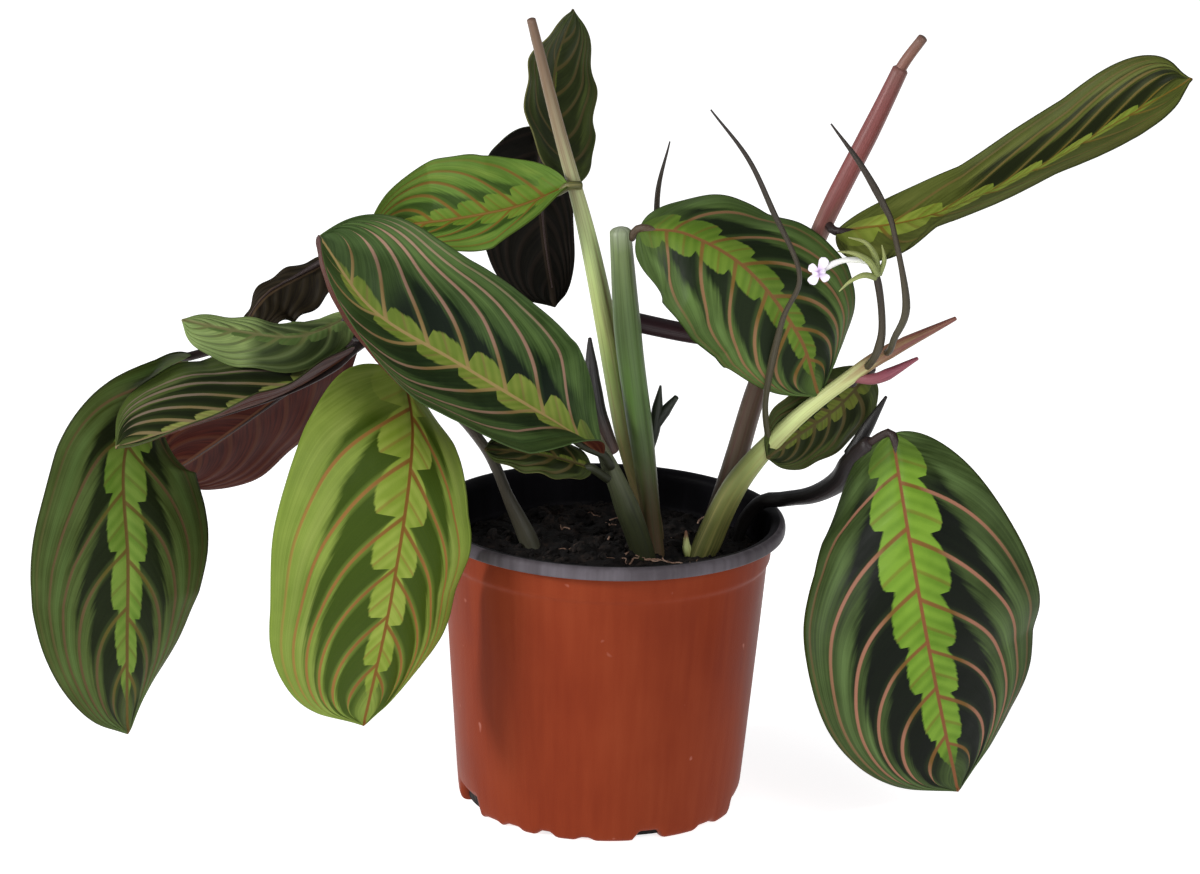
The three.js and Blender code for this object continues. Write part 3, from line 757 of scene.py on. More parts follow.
def waxy_stem_skin(name, shade, tones):
    """A living stem: tones from foot to tip, with ribs and worn patches in a darker shade."""
    material, tree, shader = new_finish("waxy_stem_" + name, 0.42, ior=1.42)
    sheet = add(tree, "UVMap", uv_map="UVMap")
    along = add(tree, "SeparateXYZ", [sheet], out=0)
    around = add(tree, "SeparateXYZ", [sheet], out=1)
    turn = add(tree, "Math", (around, 2 * math.pi), operation="MULTIPLY")
    east = add(tree, "Math", [turn], operation="COSINE")
    north = add(tree, "Math", [turn], operation="SINE")
    ring = add(tree, "CombineXYZ", (east, north, along))
    drawn = add(tree, "Mapping", {0: ring, 3: (RIBS_AROUND / 3, RIBS_AROUND / 3, 3.0)})
    rib = add(tree, "TexNoise", {"Vector": drawn, "Scale": 1.0, "Detail": 4.0})
    drift = add(tree, "Mapping", {0: ring, 3: (1.2, 1.2, 4.0)})
    patch = add(tree, "TexNoise", {"Vector": drift, "Scale": 1.0, "Detail": 3.0})
    sway = add(tree, "Math", (patch, 0.16, along), operation="MULTIPLY_ADD")
    sway = add(tree, "Math", (sway, 0.08), operation="SUBTRACT")
    skin = ramp(tree, sway, tones)
    dark = add(tree, "MapRange", {0: rib, 1: 0.5, 2: 0.72, 3: 0.0, 4: 0.6})
    worn = add(tree, "MapRange", {0: patch, 1: 0.52, 2: 0.7, 3: 0.0, 4: 0.45})
    for cover in (dark, worn):
        skin = add(tree, "Mix", {0: cover, 6: skin, 7: linear(shade)}, out=2, data_type="RGBA")
    tree.links.new(skin, shader.inputs["Base Color"])
    rough = add(tree, "MapRange", {0: rib, 1: 0.3, 2: 0.7, 3: 0.34, 4: 0.55})
    tree.links.new(rough, shader.inputs["Roughness"])
    bump = add(tree, "Bump", {"Strength": 0.5, "Distance": 0.3 * MM, "Height": rib})
    tree.links.new(bump, shader.inputs["Normal"])
    return material


# %% Skins by name: the shade of the ribs, and the tones from foot to tip
SKIN_TONES = {
    "tall_left": ("#6a5236", [
        (0.0, "#48402a"), (0.18, "#5a5234"), (0.28, "#54562a"), (0.4, "#7c8f4c"), (0.47, "#a8b66c"),
        (0.6, "#b4c684"), (0.7, "#a2a478"), (0.78, "#8c8064"), (0.88, "#76634e"), (1.0, "#62483c"),
    ]),
    "middle": ("#33401f", [
        (0.0, "#43352a"), (0.18, "#54402f"), (0.32, "#403c22"), (0.42, "#44542a"), (0.55, "#4b672d"),
        (0.75, "#566d39"), (0.92, "#6a7a4c"), (1.0, "#a0a890"),
    ]),
    "short": ("#262a1a", [
        (0.0, "#1d1e12"), (0.3, "#2e311d"), (0.55, "#434830"), (0.75, "#565a42"), (0.9, "#7c7262"),
        (1.0, "#a08678"),
    ]),
    "dried_sheath": ("#0a0807", [
        (0.0, "#6a5048"), (0.2, "#3a2a24"), (0.4, "#15110f"), (0.8, "#171210"), (1.0, "#241b19"),
    ]),
    "left_runner": ("#39392c", [
        (0.0, "#6c725c"), (0.1, "#7f8570"), (0.14, "#4e5040"), (0.2, "#3e3c30"), (1.0, "#4a3a34"),
    ]),
    "left_dark": ("#1a1010", [(0.0, "#2c1e1c"), (0.5, "#281a18"), (1.0, "#3c2824")]),
    "bright": ("#8a8048", [
        (0.0, "#343a18"), (0.16, "#4c5028"), (0.3, "#666a38"), (0.42, "#8f9a58"), (0.55, "#bfcb88"),
        (0.7, "#b6ba80"), (0.77, "#86644e"), (0.83, "#70403a"), (1.0, "#6e3438"),
    ]),
    "bright_sheath": ("#5a2b36", [(0.0, "#7a4a48"), (0.5, "#7f3f4c"), (1.0, "#8f4654")]),
    "tall_right": ("#5d3430", [
        (0.0, "#3a3a24"), (0.3, "#5c4a38"), (0.5, "#735a4a"), (0.62, "#7c6254"), (0.74, "#804542"),
        (0.92, "#7a4240"), (1.0, "#6e4e46"),
    ]),
    "tall_right_tip": ("#5d3430", [(0.0, "#7d4a42"), (0.7, "#7a5648"), (1.0, "#5a4a40")]),
    "dark_runner": ("#0a0808", [
        (0.0, "#12100e"), (0.5, "#110e0f"), (0.8, "#161112"), (1.0, "#2a1f20"),
    ]),
    "cross": ("#1c1215", [(0.0, "#2c1c20"), (0.5, "#44282c"), (1.0, "#2d1e22")]),
    "stalk": ("#1e1a14", [(0.0, "#3f3c26"), (0.5, "#3c3426"), (1.0, "#241c1a")]),
    "sprout": ("#0c0f0a", [(0.0, "#14180f"), (0.6, "#1a2114"), (1.0, "#242c1a")]),
    "corolla": ("#c9c6cf", [(0.0, "#a9b483"), (0.3, "#dfe2d2"), (1.0, "#f0edf2")]),
    "bract": ("#59623a", [(0.0, "#6f7a44"), (0.5, "#8f9858"), (1.0, "#a3a46c")]),
}
skins = {name: waxy_stem_skin(name, *tones) for name, tones in SKIN_TONES.items()}
print("stem skins:", len(skins))

# %% Branches of the stems: skin, route from foot to tip, radii along it and the sheath's seam
STEMS = {
    "stem_tall_left": [
        ("tall_left", [(17, 4, 72), (15, 4, 96), (6, 4, 126), (-2, 5, 163), (-10, 5, 197),
                       (-20, 5, 231), (-30, 4, 268)],
         [3.2, 3.6, 4.0, 3.8, 3.2, 2.4, 2.0, 1.5], 40),
        ("left_dark", [(-9, 5, 193), (-13, 16, 206), (-20, 31, 218), (-25, 40, 222)],
         [1.5, 1.3, 1.4], None),
    ],
    "stem_middle": [
        ("middle", [(19, -5, 72), (16.5, -5, 90), (11.5, -5, 124), (5.5, -6, 162), (1.5, -7, 200)],
         [2.6, 3.2, 4.3, 4.6, 3.6], 200),
    ],
    "stem_short": [
        ("short", [(14, -10, 72), (13, -11, 88), (5, -15, 111), (-3, -19, 130), (-7, -19, 140)],
         [3.2, 3.8, 4.0, 2.6, 0.7], 120),
        ("dried_sheath", [(1, -14, 126), (-4, -12, 138), (-6, -10, 148), (-7, -8, 157), (-7.5, -7, 163)],
         [2.4, 3.0, 3.0, 2.2, 0.6], 160),
    ],
    "stem_left_runner": [
        ("left_runner", [(-22, -2, 74), (-25, -2, 88), (-33, -2, 105), (-41, -2, 122), (-57, 0, 140),
                         (-72, 2, 152), (-82, 4, 158)],
         [2.6, 3.2, 1.9, 1.7, 1.7, 2.0, 2.4], 90),
        ("left_dark", [(-57, 0, 140), (-62, -9, 149), (-65, -20, 154), (-67, -30, 157)],
         [1.4, 1.3, 1.4], None),
        ("left_dark", [(-76, 3, 155), (-84, 12, 163), (-92, 22, 170), (-94, 28, 175)],
         [1.4, 1.3, 1.4], None),
        ("left_dark", [(-80, 4, 157), (-96, 8, 158), (-114, 8, 155), (-130, 7, 151)],
         [1.6, 1.4, 1.5], None),
    ],
    "stem_bright": [
        ("bright", [(26, -4, 72), (32, -5, 88), (43, -11, 116), (60, -20, 140), (78, -24, 157),
                    (90, -24, 166), (112.5, -22, 178)],
         [3.8, 4.6, 4.0, 3.0, 2.4, 2.5, 0.7], 30),
        ("bright_sheath", [(80, -24, 157), (88, -26, 158), (100.5, -24, 164.5)], [1.6, 2.0, 0.6], None),
        ("bright", [(29, -5, 84), (27, -6, 91), (26.5, -6.5, 97)], [1.4, 1.6, 0.4], None),
    ],
    "stem_tall_right": [
        ("tall_right", [(30, 8, 72), (34, 7, 90), (42, 7, 117), (49, 8, 144), (60.5, 8, 178),
                        (70, 8, 204), (83, 8, 233), (92, 8, 254)],
         [3.0, 3.4, 3.8, 3.6, 3.0, 3.0, 3.3, 3.2, 2.7], 20),
        ("tall_right_tip", [(87, 8, 244), (93, 8, 256), (99, 8, 265)], [1.9, 1.9, 1.7], None),
    ],
    "stem_dark_runner": [
        ("dark_runner", [(42, 18, 76), (45, 17, 91), (51, 13, 101.5), (59, 7, 105), (69, -4, 110.5),
                         (77, -13, 118.5), (81, -19, 127), (86, -25, 135)],
         [1.8, 2.3, 2.4, 2.5, 3.2, 4.2, 2.8], 60),
        ("dark_runner", [(80, -19, 129), (86, -18, 140), (91, -17, 149)], [2.6, 2.0, 0.5], None),
    ],
    "stem_cross": [
        ("cross", [(7, 9, 164.5), (24, 12, 160.5), (49, 17, 155.5), (64, 8, 152.5), (76, -8, 151),
                   (80, -15, 153)],
         [3.3, 3.2, 2.4, 1.8, 1.6], None),
    ],
    "stalk_a": [
        ("stalk", [(83, -24, 160), (86, -30, 166), (88, -32, 174), (87.5, -31, 184), (85.5, -30, 194),
                   (83, -30, 198)],
         [1.3, 1.2, 1.5, 1.2, 1.2, 1.3, 0.8], None),
        ("corolla", [(85, -30, 195.5), (82, -30, 198.5), (75, -29, 198.5), (68.5, -28, 195.5)],
         [0.7, 1.0, 0.9, 1.2], None),
        ("bract", [(86, -30, 194), (83, -31.5, 199), (78, -33, 202), (72.5, -33, 202.5)],
         [1.2, 1.1, 0.8, 0.2], None),
        ("bract", [(86, -29, 194), (85, -28, 200), (81.5, -28, 204.5), (76, -28, 206)],
         [1.2, 1.1, 0.7, 0.2], None),
        ("bract", [(86, -30, 193), (81.5, -32, 194.5), (77, -33, 192.5), (73.5, -33, 189)],
         [1.1, 1.0, 0.6, 0.2], None),
        ("bract", [(86.5, -29, 194), (88, -29, 199), (87, -29, 204)], [1.0, 0.8, 0.2], None),
    ],
    "stalk_b": [
        ("stalk", [(90, -24, 166), (91, -31, 169), (92, -35, 174), (95.5, -36, 186), (90.5, -33, 210),
                   (87, -31, 218), (79, -27, 230.5), (69, -22, 242.5)],
         [1.2, 1.1, 1.4, 1.0, 0.9, 1.3, 0.9, 0.3], None),
    ],
    "stalk_c": [
        ("stalk", [(53, -17, 131), (51, -27, 150), (55, -40, 180), (60, -47, 198), (50.5, -41, 218),
                   (42, -37, 234), (29.5, -34, 249)],
         [1.2, 1.0, 1.3, 0.9, 0.8, 1.0, 0.8, 0.3], None),
    ],
    "stalk_d": [
        ("stalk", [(27, 12, 162), (21, 17, 170), (15, 18, 186), (13.5, 18, 206), (17, 18, 224.5)],
         [1.1, 1.0, 1.2, 0.9, 0.25], None),
    ],
    "sprout": [
        ("sprout", [(13.5, -1, 122), (15, 0, 130), (15.8, 1, 138), (16.5, 1, 145)],
         [1.2, 1.9, 1.9, 0.4], None),
        ("sprout", [(15, 0, 131), (18.5, 1, 136.5), (22, 2, 141)], [1.7, 1.9, 0.9], None),
    ],
}


# %% Grow the stems
STEM_ROW = 2
FEWEST_ROWS = 14


def grow_stem_node(node, branches):
    """All branches of one stem, joined, in place of its CAD node."""
    parts = []
    for skin, route, radii, seam in branches:
        rows = max(FEWEST_ROWS, int(Line(route).length / STEM_ROW))
        part = grown_stem(node, route, radii, rows=rows, seam=seam)
        dress(part, skins[skin])
        parts.append(part)
    hand_over(join_pieces("grown_" + node, parts), node)


for node, branches in STEMS.items():
    grow_stem_node(node, branches)

# %% [markdown]
# ## Flower
#
# One small flower is open: a thin tube that spreads into four rounded lobes, with two smaller
# ones in its mouth. A lobe could be a squashed ball, but a grid gives it a thin, cupped edge.

# %% Flower lobes
FLOWER_PLACE = Vector((66.8, -29, 194.3))
# Each lobe: its angle, its length, half its width and how far forward it starts
LOBES = [
    (68, 5.2, 1.9, 0.6), (150, 3.8, 1.7, 0.6), (236, 5.0, 1.9, 0.6), (318, 4.2, 1.7, 0.6),
    (20, 2.2, 0.9, 1.4), (195, 2.2, 0.9, 1.4),
]
LOBE_THICKNESS = 0.22
LOBE_GRID = (14, 10)


def grown_lobe(angle, length, half, forward):
    """A cupped lobe that stands out from the flower's middle at an angle in the picture plane."""
    turn = math.radians(angle)
    out = Vector((math.cos(turn), 0, math.sin(turn)))
    side = Vector((-math.sin(turn), 0, math.cos(turn)))

    def place(along, across):
        v = 2 * across - 1
        width = half * (0.3 + 0.9 * along) * math.sqrt(max(0.0, 1 - along**5))
        depth = forward - 1.2 * along**2 + 0.5 * v * v * along
        return FLOWER_PLACE + out * (length * along) + side * (width * v) + Vector((0, -depth, 0)), {}

    lobe = grown_sheet("flower_lobe", *LOBE_GRID, place)
    apply_modifier(lobe, "SOLIDIFY", thickness=LOBE_THICKNESS * MM, offset=0.0)
    return lobe


def thin_petal():
    """White with a breath of lilac towards the mouth of the tube."""
    material, tree, shader = new_finish("thin_petal", 0.55, ior=1.4, specular=0.2)
    sheet = add(tree, "UVMap", uv_map="UVMap")
    along = add(tree, "SeparateXYZ", [sheet], out=0)
    stops = [(0.0, "#b795c9"), (0.3, "#e3d3ee"), (0.7, "#f6f2f8"), (1.0, "#efe6f4")]
    tree.links.new(ramp(tree, along, stops), shader.inputs["Base Color"])
    shader.inputs["Subsurface Weight"].default_value = 0.2
    shader.inputs["Subsurface Radius"].default_value = (MM, MM, MM)
    return material


flower = join_pieces("open_flower", [grown_lobe(*lobe) for lobe in LOBES])
dress(flower, thin_petal())
hand_over(flower, "flower")

# %% [markdown]
# ## Leaf blades
#
# A blade hangs on its midrib. Its two halves stand off the midrib by a fold angle and bend by a
# curl angle, the base is drawn back into two lobes, and the margin waves. The side veins leave
# the midrib at equal steps and arch towards the tip, so one number says how many veins lie
# before any point. The form uses it for the pleats, and the finish uses it for the markings.

# %% Blade sizes
BLADE_ROWS = 132
BLADE_COLUMNS = 60
BLADE_THICKNESS = 0.5
PLEAT = 0.42
RIB_GROOVE = 0.55
RIB_REACH = 2.2
VEIN_SLANT = (0.08, 0.22)
VEIN_ARCH = (0.05, 0.65)
VEIN_WIDTH = (1.25, 0.8)
VEIN_DRIFT = 0.14
TOOTH_START = 0.075
BAND_CURVE = (0.54, -0.8, 0.42)
BAND_END = (0.86, 0.97)
BAND_BASE = 0.16
MARKED_FROM = (0.02, 0.11)
MARKED_TO = (0.84, 0.93)
SIDE_SHIFT = 0.18
JOINT_RADIUS = 1.5
MIDRIB_TIP = 0.25
MIDRIB_SHARES = (0.07, 0.2, 0.35, 0.5, 0.65, 0.8, 0.92)
MIDRIB_STEPS = 30
MIDRIB_GRID = (60, 12)
NOTES = ("veins", "side", "across", "marked", "band", "lobes", "line", "blots")

# %% The leaves
# rib is the midrib's route from base to tip, and sides says along it where the second half points.
# A pair holds a value for each half: half is its width in millimetres, fold and curl are the
# degrees by which it stands off and bends, peak is over 1 where it is widest past the middle,
# band and blots scale the lime band and the blotches, and slant steepens the veins. full squares
# the outline, lobe draws the base back, drip draws the tip out, and wave is the margin's height.
# The blotches leave plain_base and plain_tip free. The stalk comes by way_in from the stem, and
# palette, stalk and under name the finishes.
USUAL_LEAF = {
    "peak": (1.12, 1.12), "full": 2.15, "lobe": 0.07, "drip": 0.02, "wave": 1, "veins": 7,
    "slant": (0, 0), "band": (1, 1), "base_band": 0.4, "blots": (1, 1), "plain_base": 0.08,
    "plain_tip": 0.95, "under": "burgundy",
}
LEAVES = {
    "leaf_right_hanging": {
        "rib": [(93, -30, 140), (98, -48, 116), (104, -55, 88), (112, -50, 52), (119, -40, 22)],
        "sides": [
            (-0.93, 0.17, -0.32), (-0.98, 0.03, -0.22), (-0.86, -0.42, -0.28), (-0.74, -0.56, -0.36),
        ],
        "half": (41.7, 42), "fold": (-2, -13), "curl": (-10, -31), "peak": (1.4, 1.2), "full": 2.05,
        "lobe": 0.09, "way_in": [(86, -25, 135), (89, -27, 138)], "palette": "mature",
        "stalk": "left_dark", "band": (1.0, 1.0), "base_band": 0.3,
    },
    "leaf_front_light": {
        "rib": [(-68, -38, 158), (-64, -56, 144), (-66, -68, 116), (-71, -68, 81), (-77.5, -61, 46)],
        "sides": [
            (-0.8, -0.46, 0.38), (-0.86, -0.44, 0.25), (-0.81, -0.59, 0.07), (-0.78, -0.63, -0.04),
        ],
        "half": (36, 43.5), "fold": (-4, -7), "curl": (-25, -9), "peak": (1.8, 1.17), "full": 2.2,
        "lobe": 0.09, "way_in": [(-67.4, -30, 157.4)], "palette": "young", "stalk": "bright",
        "band": (0.95, 0.9), "slant": (0.1, 0.08), "base_band": 0.8,
    },
    "leaf_left_hanging": {
        "rib": [
            (-140, 5, 149), (-150, -6, 144), (-160, -22, 122), (-158, -30, 88), (-158, -30, 57),
            (-158, -24, 28),
        ],
        "sides": [
            (0.53, -0.68, 0.5), (-0.61, -0.71, 0.35), (-0.78, -0.62, 0.01), (-0.36, -0.91, -0.2),
        ],
        "half": (31.5, 34.5), "fold": (22, -17), "curl": (-22, 1), "peak": (0.8, 1.34), "full": 1.7,
        "lobe": 0.02, "way_in": [(-132, 7, 151)], "palette": "shaded", "stalk": "left_dark",
        "band": (0.9, 0.85), "base_band": 0.2,
    },
    "leaf_left_folded": {
        "rib": [(-87, -3, 154), (-106, -17, 145), (-133, -32, 138), (-160, -42, 131)],
        "sides": [(0.1, 0.85, 0.5), (0.1, 0.8, 0.55), (0, 0.55, 0.75)],
        "half": (18, 31), "fold": (55, -5), "curl": (20, -25), "peak": (1.12, 0.9),
        "way_in": [(-83, 2, 156)], "palette": "folded", "stalk": "left_dark", "band": (0.5, 0.5),
        "slant": (0.35, 0.35),
    },
    "leaf_left_under": {
        "rib": [(-83, 18, 156), (-108, 24, 133), (-133, 28, 112), (-150, 30, 99)],
        "sides": [(0.5, 0.5, -0.6), (0.5, 0.5, -0.6)],
        "half": (24, 31), "fold": (5, 5), "curl": (10, 10), "peak": (1.12, 2.2),
        "way_in": [(-81, 5, 157), (-81, 11, 158)], "palette": "mature", "stalk": "left_dark",
    },
    "leaf_front_striped": {
        "rib": [(-2, -24, 128), (-20, -38, 144), (-52, -55, 168), (-78, -62, 186), (-96, -55, 208)],
        "sides": [(-0.3, 0.8, 0.3), (0.41, 0.39, 0.83), (0.39, 0.43, 0.81), (0.63, 0.72, 0.29)],
        "half": (43.4, 34.3), "fold": (35, 8), "curl": (42, 50), "peak": (2.2, 1.62), "full": 2.6,
        "lobe": 0, "drip": 0, "way_in": [(1, -22, 123)], "palette": "striped", "stalk": "short",
        "band": (0.62, 0.8), "veins": 8, "slant": (0.2, 0.06), "blots": (0.75, 1), "plain_tip": 0.7,
    },
    "leaf_front_small": {
        "rib": [(-6, -26, 124), (-17, -33, 129), (-29, -37, 132), (-40, -39, 133)],
        "sides": [(0.2, 0.8, 0.5), (0.2, 0.8, 0.5)],
        "half": (7, 11), "fold": (-5, -5), "curl": (-20, -20), "way_in": [(0, -22, 119)],
        "palette": "dim", "stalk": "short", "band": (0.45, 0.45), "veins": 5,
    },
    "leaf_left_dark": {
        "rib": [(-95, 30, 177), (-105, 27, 172), (-116, 23, 166), (-123, 18, 157)],
        "sides": [(0, -0.8, -0.6), (0, -0.8, -0.6)],
        "half": (9, 13), "fold": (20, 20), "curl": (10, 10), "way_in": [(-94, 28, 176)],
        "palette": "mature", "stalk": "left_dark", "under": "green_black",
    },
    "leaf_left_back": {
        "rib": [(-87, 0, 166), (-104, -9, 161), (-124, -5, 161), (-142, 2, 162)],
        "sides": [(0, 0.9, 0.3), (0, 0.9, 0.3)],
        "half": (12, 7), "fold": (-28, 5), "curl": (-35, 5), "wave": 0.7,
        "way_in": [(-82.5, 3.8, 160.4)], "palette": "pale", "stalk": "left_dark", "band": (0.9, 0.6),
        "plain_tip": 0.5, "plain_base": 0.0,
    },
    "leaf_upper_bright": {
        "rib": [(-16, 0, 213), (-33, 5, 204), (-55, 15, 196), (-70, 22, 192), (-82, 28, 188)],
        "sides": [(-0.02, 0.86, 0.5), (-0.11, 0.51, 0.85), (0.08, 0.63, 0.78), (-0.52, -0.68, 0.52)],
        "half": (17.5, 21.5), "fold": (25, 27), "curl": (12, 11), "peak": (0.82, 1), "full": 1.75,
        "lobe": 0, "way_in": [(-12, 1, 213)], "palette": "bright", "stalk": "bright",
    },
    "leaf_upper_under": {
        "rib": [(-26, 44, 221), (-26, 54, 199), (-24, 56, 179), (-20, 52, 158)],
        "sides": [(1, 0.2, 0), (1, 0.2, 0)],
        "half": (21, 11), "fold": (5, 5), "curl": (5, 5), "way_in": [(-25, 40, 222)],
        # Its underside is painted nearly black, as painted shade
        "palette": "mature", "under": "deep", "stalk": "left_dark",
    },
    "leaf_top": {
        "rib": [(-14, 14, 210), (-21, 32, 224), (-22, 46, 242), (-17, 52, 259)],
        "sides": [(0.85, 0.49, -0.2), (0.71, 0.58, -0.4), (0.63, 0.64, -0.45), (0.38, 0.84, -0.4)],
        "half": (18.7, 17.5), "fold": (11, 11), "curl": (3, 5), "peak": (1, 1.5), "full": 2.05,
        "way_in": [(-12, 9, 206)], "palette": "dim", "stalk": "left_dark", "band": (0.3, 0.3),
        "blots": (0.6, 0.6),
    },
    "leaf_middle": {
        "rib": [(8, -10, 202), (24, -20, 203), (44, -30, 194), (61, -32, 173), (68, -24, 152)],
        "sides": [
            (-0.35, -0.64, -0.69), (-0.56, -0.62, -0.55), (-0.79, -0.26, -0.55),
            (-0.79, -0.44, -0.43),
        ],
        "half": (30.5, 30), "fold": (-13, -10), "curl": (-16, -37), "peak": (1.15, 1.24),
        "lobe": 0.09, "way_in": [(5, -8, 198)], "palette": "fresh", "stalk": "middle",
        "band": (0.85, 0.8),
    },
    "leaf_upper_right": {
        "rib": [(73, 1, 200), (103, -8, 209), (134, -18, 227), (165, -26, 249), (183, -30, 262)],
        "sides": [
            (-0.03, -0.78, -0.62), (-0.25, -0.96, -0.13), (-0.16, -0.98, -0.13), (0.03, -0.95, -0.31),
        ],
        "half": (25.6, 30.5), "fold": (-11, 3), "curl": (76, 8), "peak": (1.9, 1.17), "full": 2.35,
        "lobe": 0.02, "wave": 0.1, "way_in": [(70, 7, 201)], "palette": "olive", "stalk": "left_dark",
        "blots": (1, 0.15), "plain_base": 0.3,
    },
    "leaf_right_small": {
        "rib": [(85, -10, 154), (75, -12, 143), (62, -16, 134), (53, -20, 128)],
        "sides": [(-0.5, -0.2, 0.8), (-0.5, -0.2, 0.8)],
        "half": (14, 14), "fold": (0, 0), "curl": (-15, -15), "way_in": [(86, -12, 157)],
        "palette": "dim", "stalk": "left_dark", "band": (0.9, 0.9),
    },
}


# %% Blade formula
def half_width(u, peak, fullness):
    """Share of the widest half width at share u of the midrib."""
    x = abs(1 - 2 * u**peak)
    return max(0.0, 1 - x**fullness) ** (1 / fullness)


def vein_lean(u, extra):
    """Slant and arch of the side veins here: the lowest leave the midrib nearly square."""
    slant = extra + VEIN_SLANT[0] + (VEIN_SLANT[1] - VEIN_SLANT[0]) * smooth_share(0, 0.5, u)
    arch = VEIN_ARCH[0] + (VEIN_ARCH[1] - VEIN_ARCH[0]) * smooth_share(0.2, 1.05, u)
    return slant, arch


def vein_share(u, reach, extra):
    """Where on the midrib the side vein starts that passes this point."""
    slant, arch = vein_lean(u, extra)
    return u - slant * reach - arch * reach**3


def vein_line(count, length, half, u, reach, extra):
    """Half the width of a side vein as a share of the step between two veins."""
    slant, arch = vein_lean(u, extra)
    slope = slant + 3 * arch * reach**2
    crowding = math.hypot(1, length * slope / max(half, 3))
    width = VEIN_WIDTH[0] + (VEIN_WIDTH[1] - VEIN_WIDTH[0]) * reach
    return min(0.5 * width * count / length * crowding, 0.16)


def blade_point(leaf, line, u, v):
    """Point, surface normal and half width of a blade, in millimetres."""
    k = 1 if v >= 0 else 0
    width = half_width(u, leaf["peak"][k], leaf["full"])
    reach = abs(v)
    along = u - leaf["lobe"] * 1.6 * (1 - u) ** 3 * width * reach**1.3
    if u > 0.5:
        along += leaf["drip"] * max(0.0, 1 - width / 0.3) ** 2
    inside = min(max(along, 0.0), 1.0)
    heading = line.heading(inside)
    point = line.at(inside) + heading * ((along - inside) * line.length)
    side = between([Vector(s) for s in leaf["sides"]], inside)
    side = (side - heading * side.dot(heading)).normalized()
    up = side.cross(heading)
    sign = 1 if v >= 0 else -1
    start = math.radians(leaf["fold"][k])
    curl = leaf["curl"][k]
    bend = math.radians(curl if abs(curl) >= 1 else 1)
    lean = start + bend * reach
    across = (math.sin(lean) - math.sin(start)) / bend
    rise = (math.cos(start) - math.cos(lean)) / bend
    phase = 3.5 * u + (0 if v >= 0 else 0.37)
    fade = math.sqrt(max(0.0, math.sin(math.pi * u)))
    ripple = leaf["wave"] * math.sin(2 * math.pi * phase) * reach**2.5 * fade
    half = leaf["half"][k] * width
    point = point + side * (sign * half * across) + up * (half * rise + ripple)
    normal = up * math.cos(lean) - side * (sign * math.sin(lean))
    return point, normal, half


# %% Grow the blades
def blade_place(leaf, line, number):
    """A place function for one leaf: its point with pleats, and the notes for its finish."""
    count = leaf["veins"]
    base, tip = leaf["plain_base"], leaf["plain_tip"]

    def place(along, across):
        u = 0.5 - 0.5 * math.cos(math.pi * along)
        v = 1 - 2 * across
        k = 1 if v >= 0 else 0
        reach = abs(v)
        point, normal, half = blade_point(leaf, line, u, v)
        extra = leaf["slant"][k]
        start = vein_share(u, reach, extra)
        drift = VEIN_DRIFT * noise.noise(Vector((3.1 * start, 0.8 * v, 5.7 * number)))
        veins = count * start + drift
        turn = veins + (SIDE_SHIFT if v > 0 else 0)
        distance = reach * half

        pillow = (0.5 - 0.5 * math.cos(2 * math.pi * turn)) ** 0.6
        soft = smooth_share(0.0, 0.2, reach) * (1 - smooth_share(0.75, 1.0, reach))
        lift = PLEAT * pillow * soft * smooth_share(-0.1, 0.1, start)
        lift -= RIB_GROOVE * max(0.0, 1 - distance / RIB_REACH) ** 2 * (1 - 0.6 * u)
        lift += 0.35 * noise.noise(point * 0.045) + 0.1 * noise.noise(point * 0.2)

        band = BAND_CURVE[0] + BAND_CURVE[1] * u + BAND_CURVE[2] * u * u
        band *= leaf["band"][k] * (1 - smooth_share(*BAND_END, u))
        band *= 1 + leaf["base_band"] * (1 - smooth_share(0.0, BAND_BASE, u))
        ending = (1 - smooth_share(0.9, 0.98, u)) * (1 - smooth_share(0.84, 0.9, start))
        blots = leaf["blots"][k] * smooth_share(base, base + 0.12, u)
        notes = {
            "veins": veins + 10 * number,
            "side": v,
            "across": distance,
            "marked": smooth_share(*MARKED_FROM, start) * (1 - smooth_share(*MARKED_TO, start)),
            "band": band,
            "lobes": count * (u - TOOTH_START) + drift + 10 * number,
            "line": 0.002 + ending * vein_line(count, line.length, half, u, reach, extra),
            "blots": blots * (1 - smooth_share(tip, tip + 0.14, u)),
        }
        return point + normal * lift, notes

    return place


def midrib_radius(t):
    """The midrib's radius at share t of the blade, negative on the way in to it."""
    return JOINT_RADIUS if t < 0 else MIDRIB_TIP + (JOINT_RADIUS - MIDRIB_TIP) * (1 - t) ** 2.5


def midrib_route(leaf, line):
    """From the stem through the swollen joint and on along the blade's underside."""
    route = [Vector(p) for p in leaf["way_in"]]
    route.append(Vector(leaf["rib"][0]))
    for t in MIDRIB_SHARES:
        point, normal, _ = blade_point(leaf, line, t, 0)
        route.append(point - normal * (midrib_radius(t) + RIB_GROOVE * (1 - 0.6 * t)))
    return route


def grow_leaf(node, leaf, number):
    """Blade, midrib and joint of one leaf, joined, in place of its CAD node."""
    line = Line(leaf["rib"])
    place = blade_place(leaf, line, number)
    blade = grown_sheet(node, BLADE_ROWS, BLADE_COLUMNS, place, NOTES)
    dress(blade, uppers[leaf["palette"]], unders[leaf["under"]])
    solid = {"thickness": BLADE_THICKNESS * MM, "offset": 0.0, "material_offset": 1}
    apply_modifier(blade, "SOLIDIFY", **solid)
    route = midrib_route(leaf, line)
    way_in = 1 - MIDRIB_SHARES[-1] * line.length / Line(route).length
    shares = [i / MIDRIB_STEPS for i in range(MIDRIB_STEPS + 1)]
    radii = [midrib_radius((share - way_in) / (1 - way_in)) for share in shares]
    stalk = grown_stem(node + "_stalk", route, radii, *MIDRIB_GRID)
    dress(stalk, skins[leaf["stalk"]])
    hand_over(join_pieces("grown_" + node, [blade, stalk]), node)


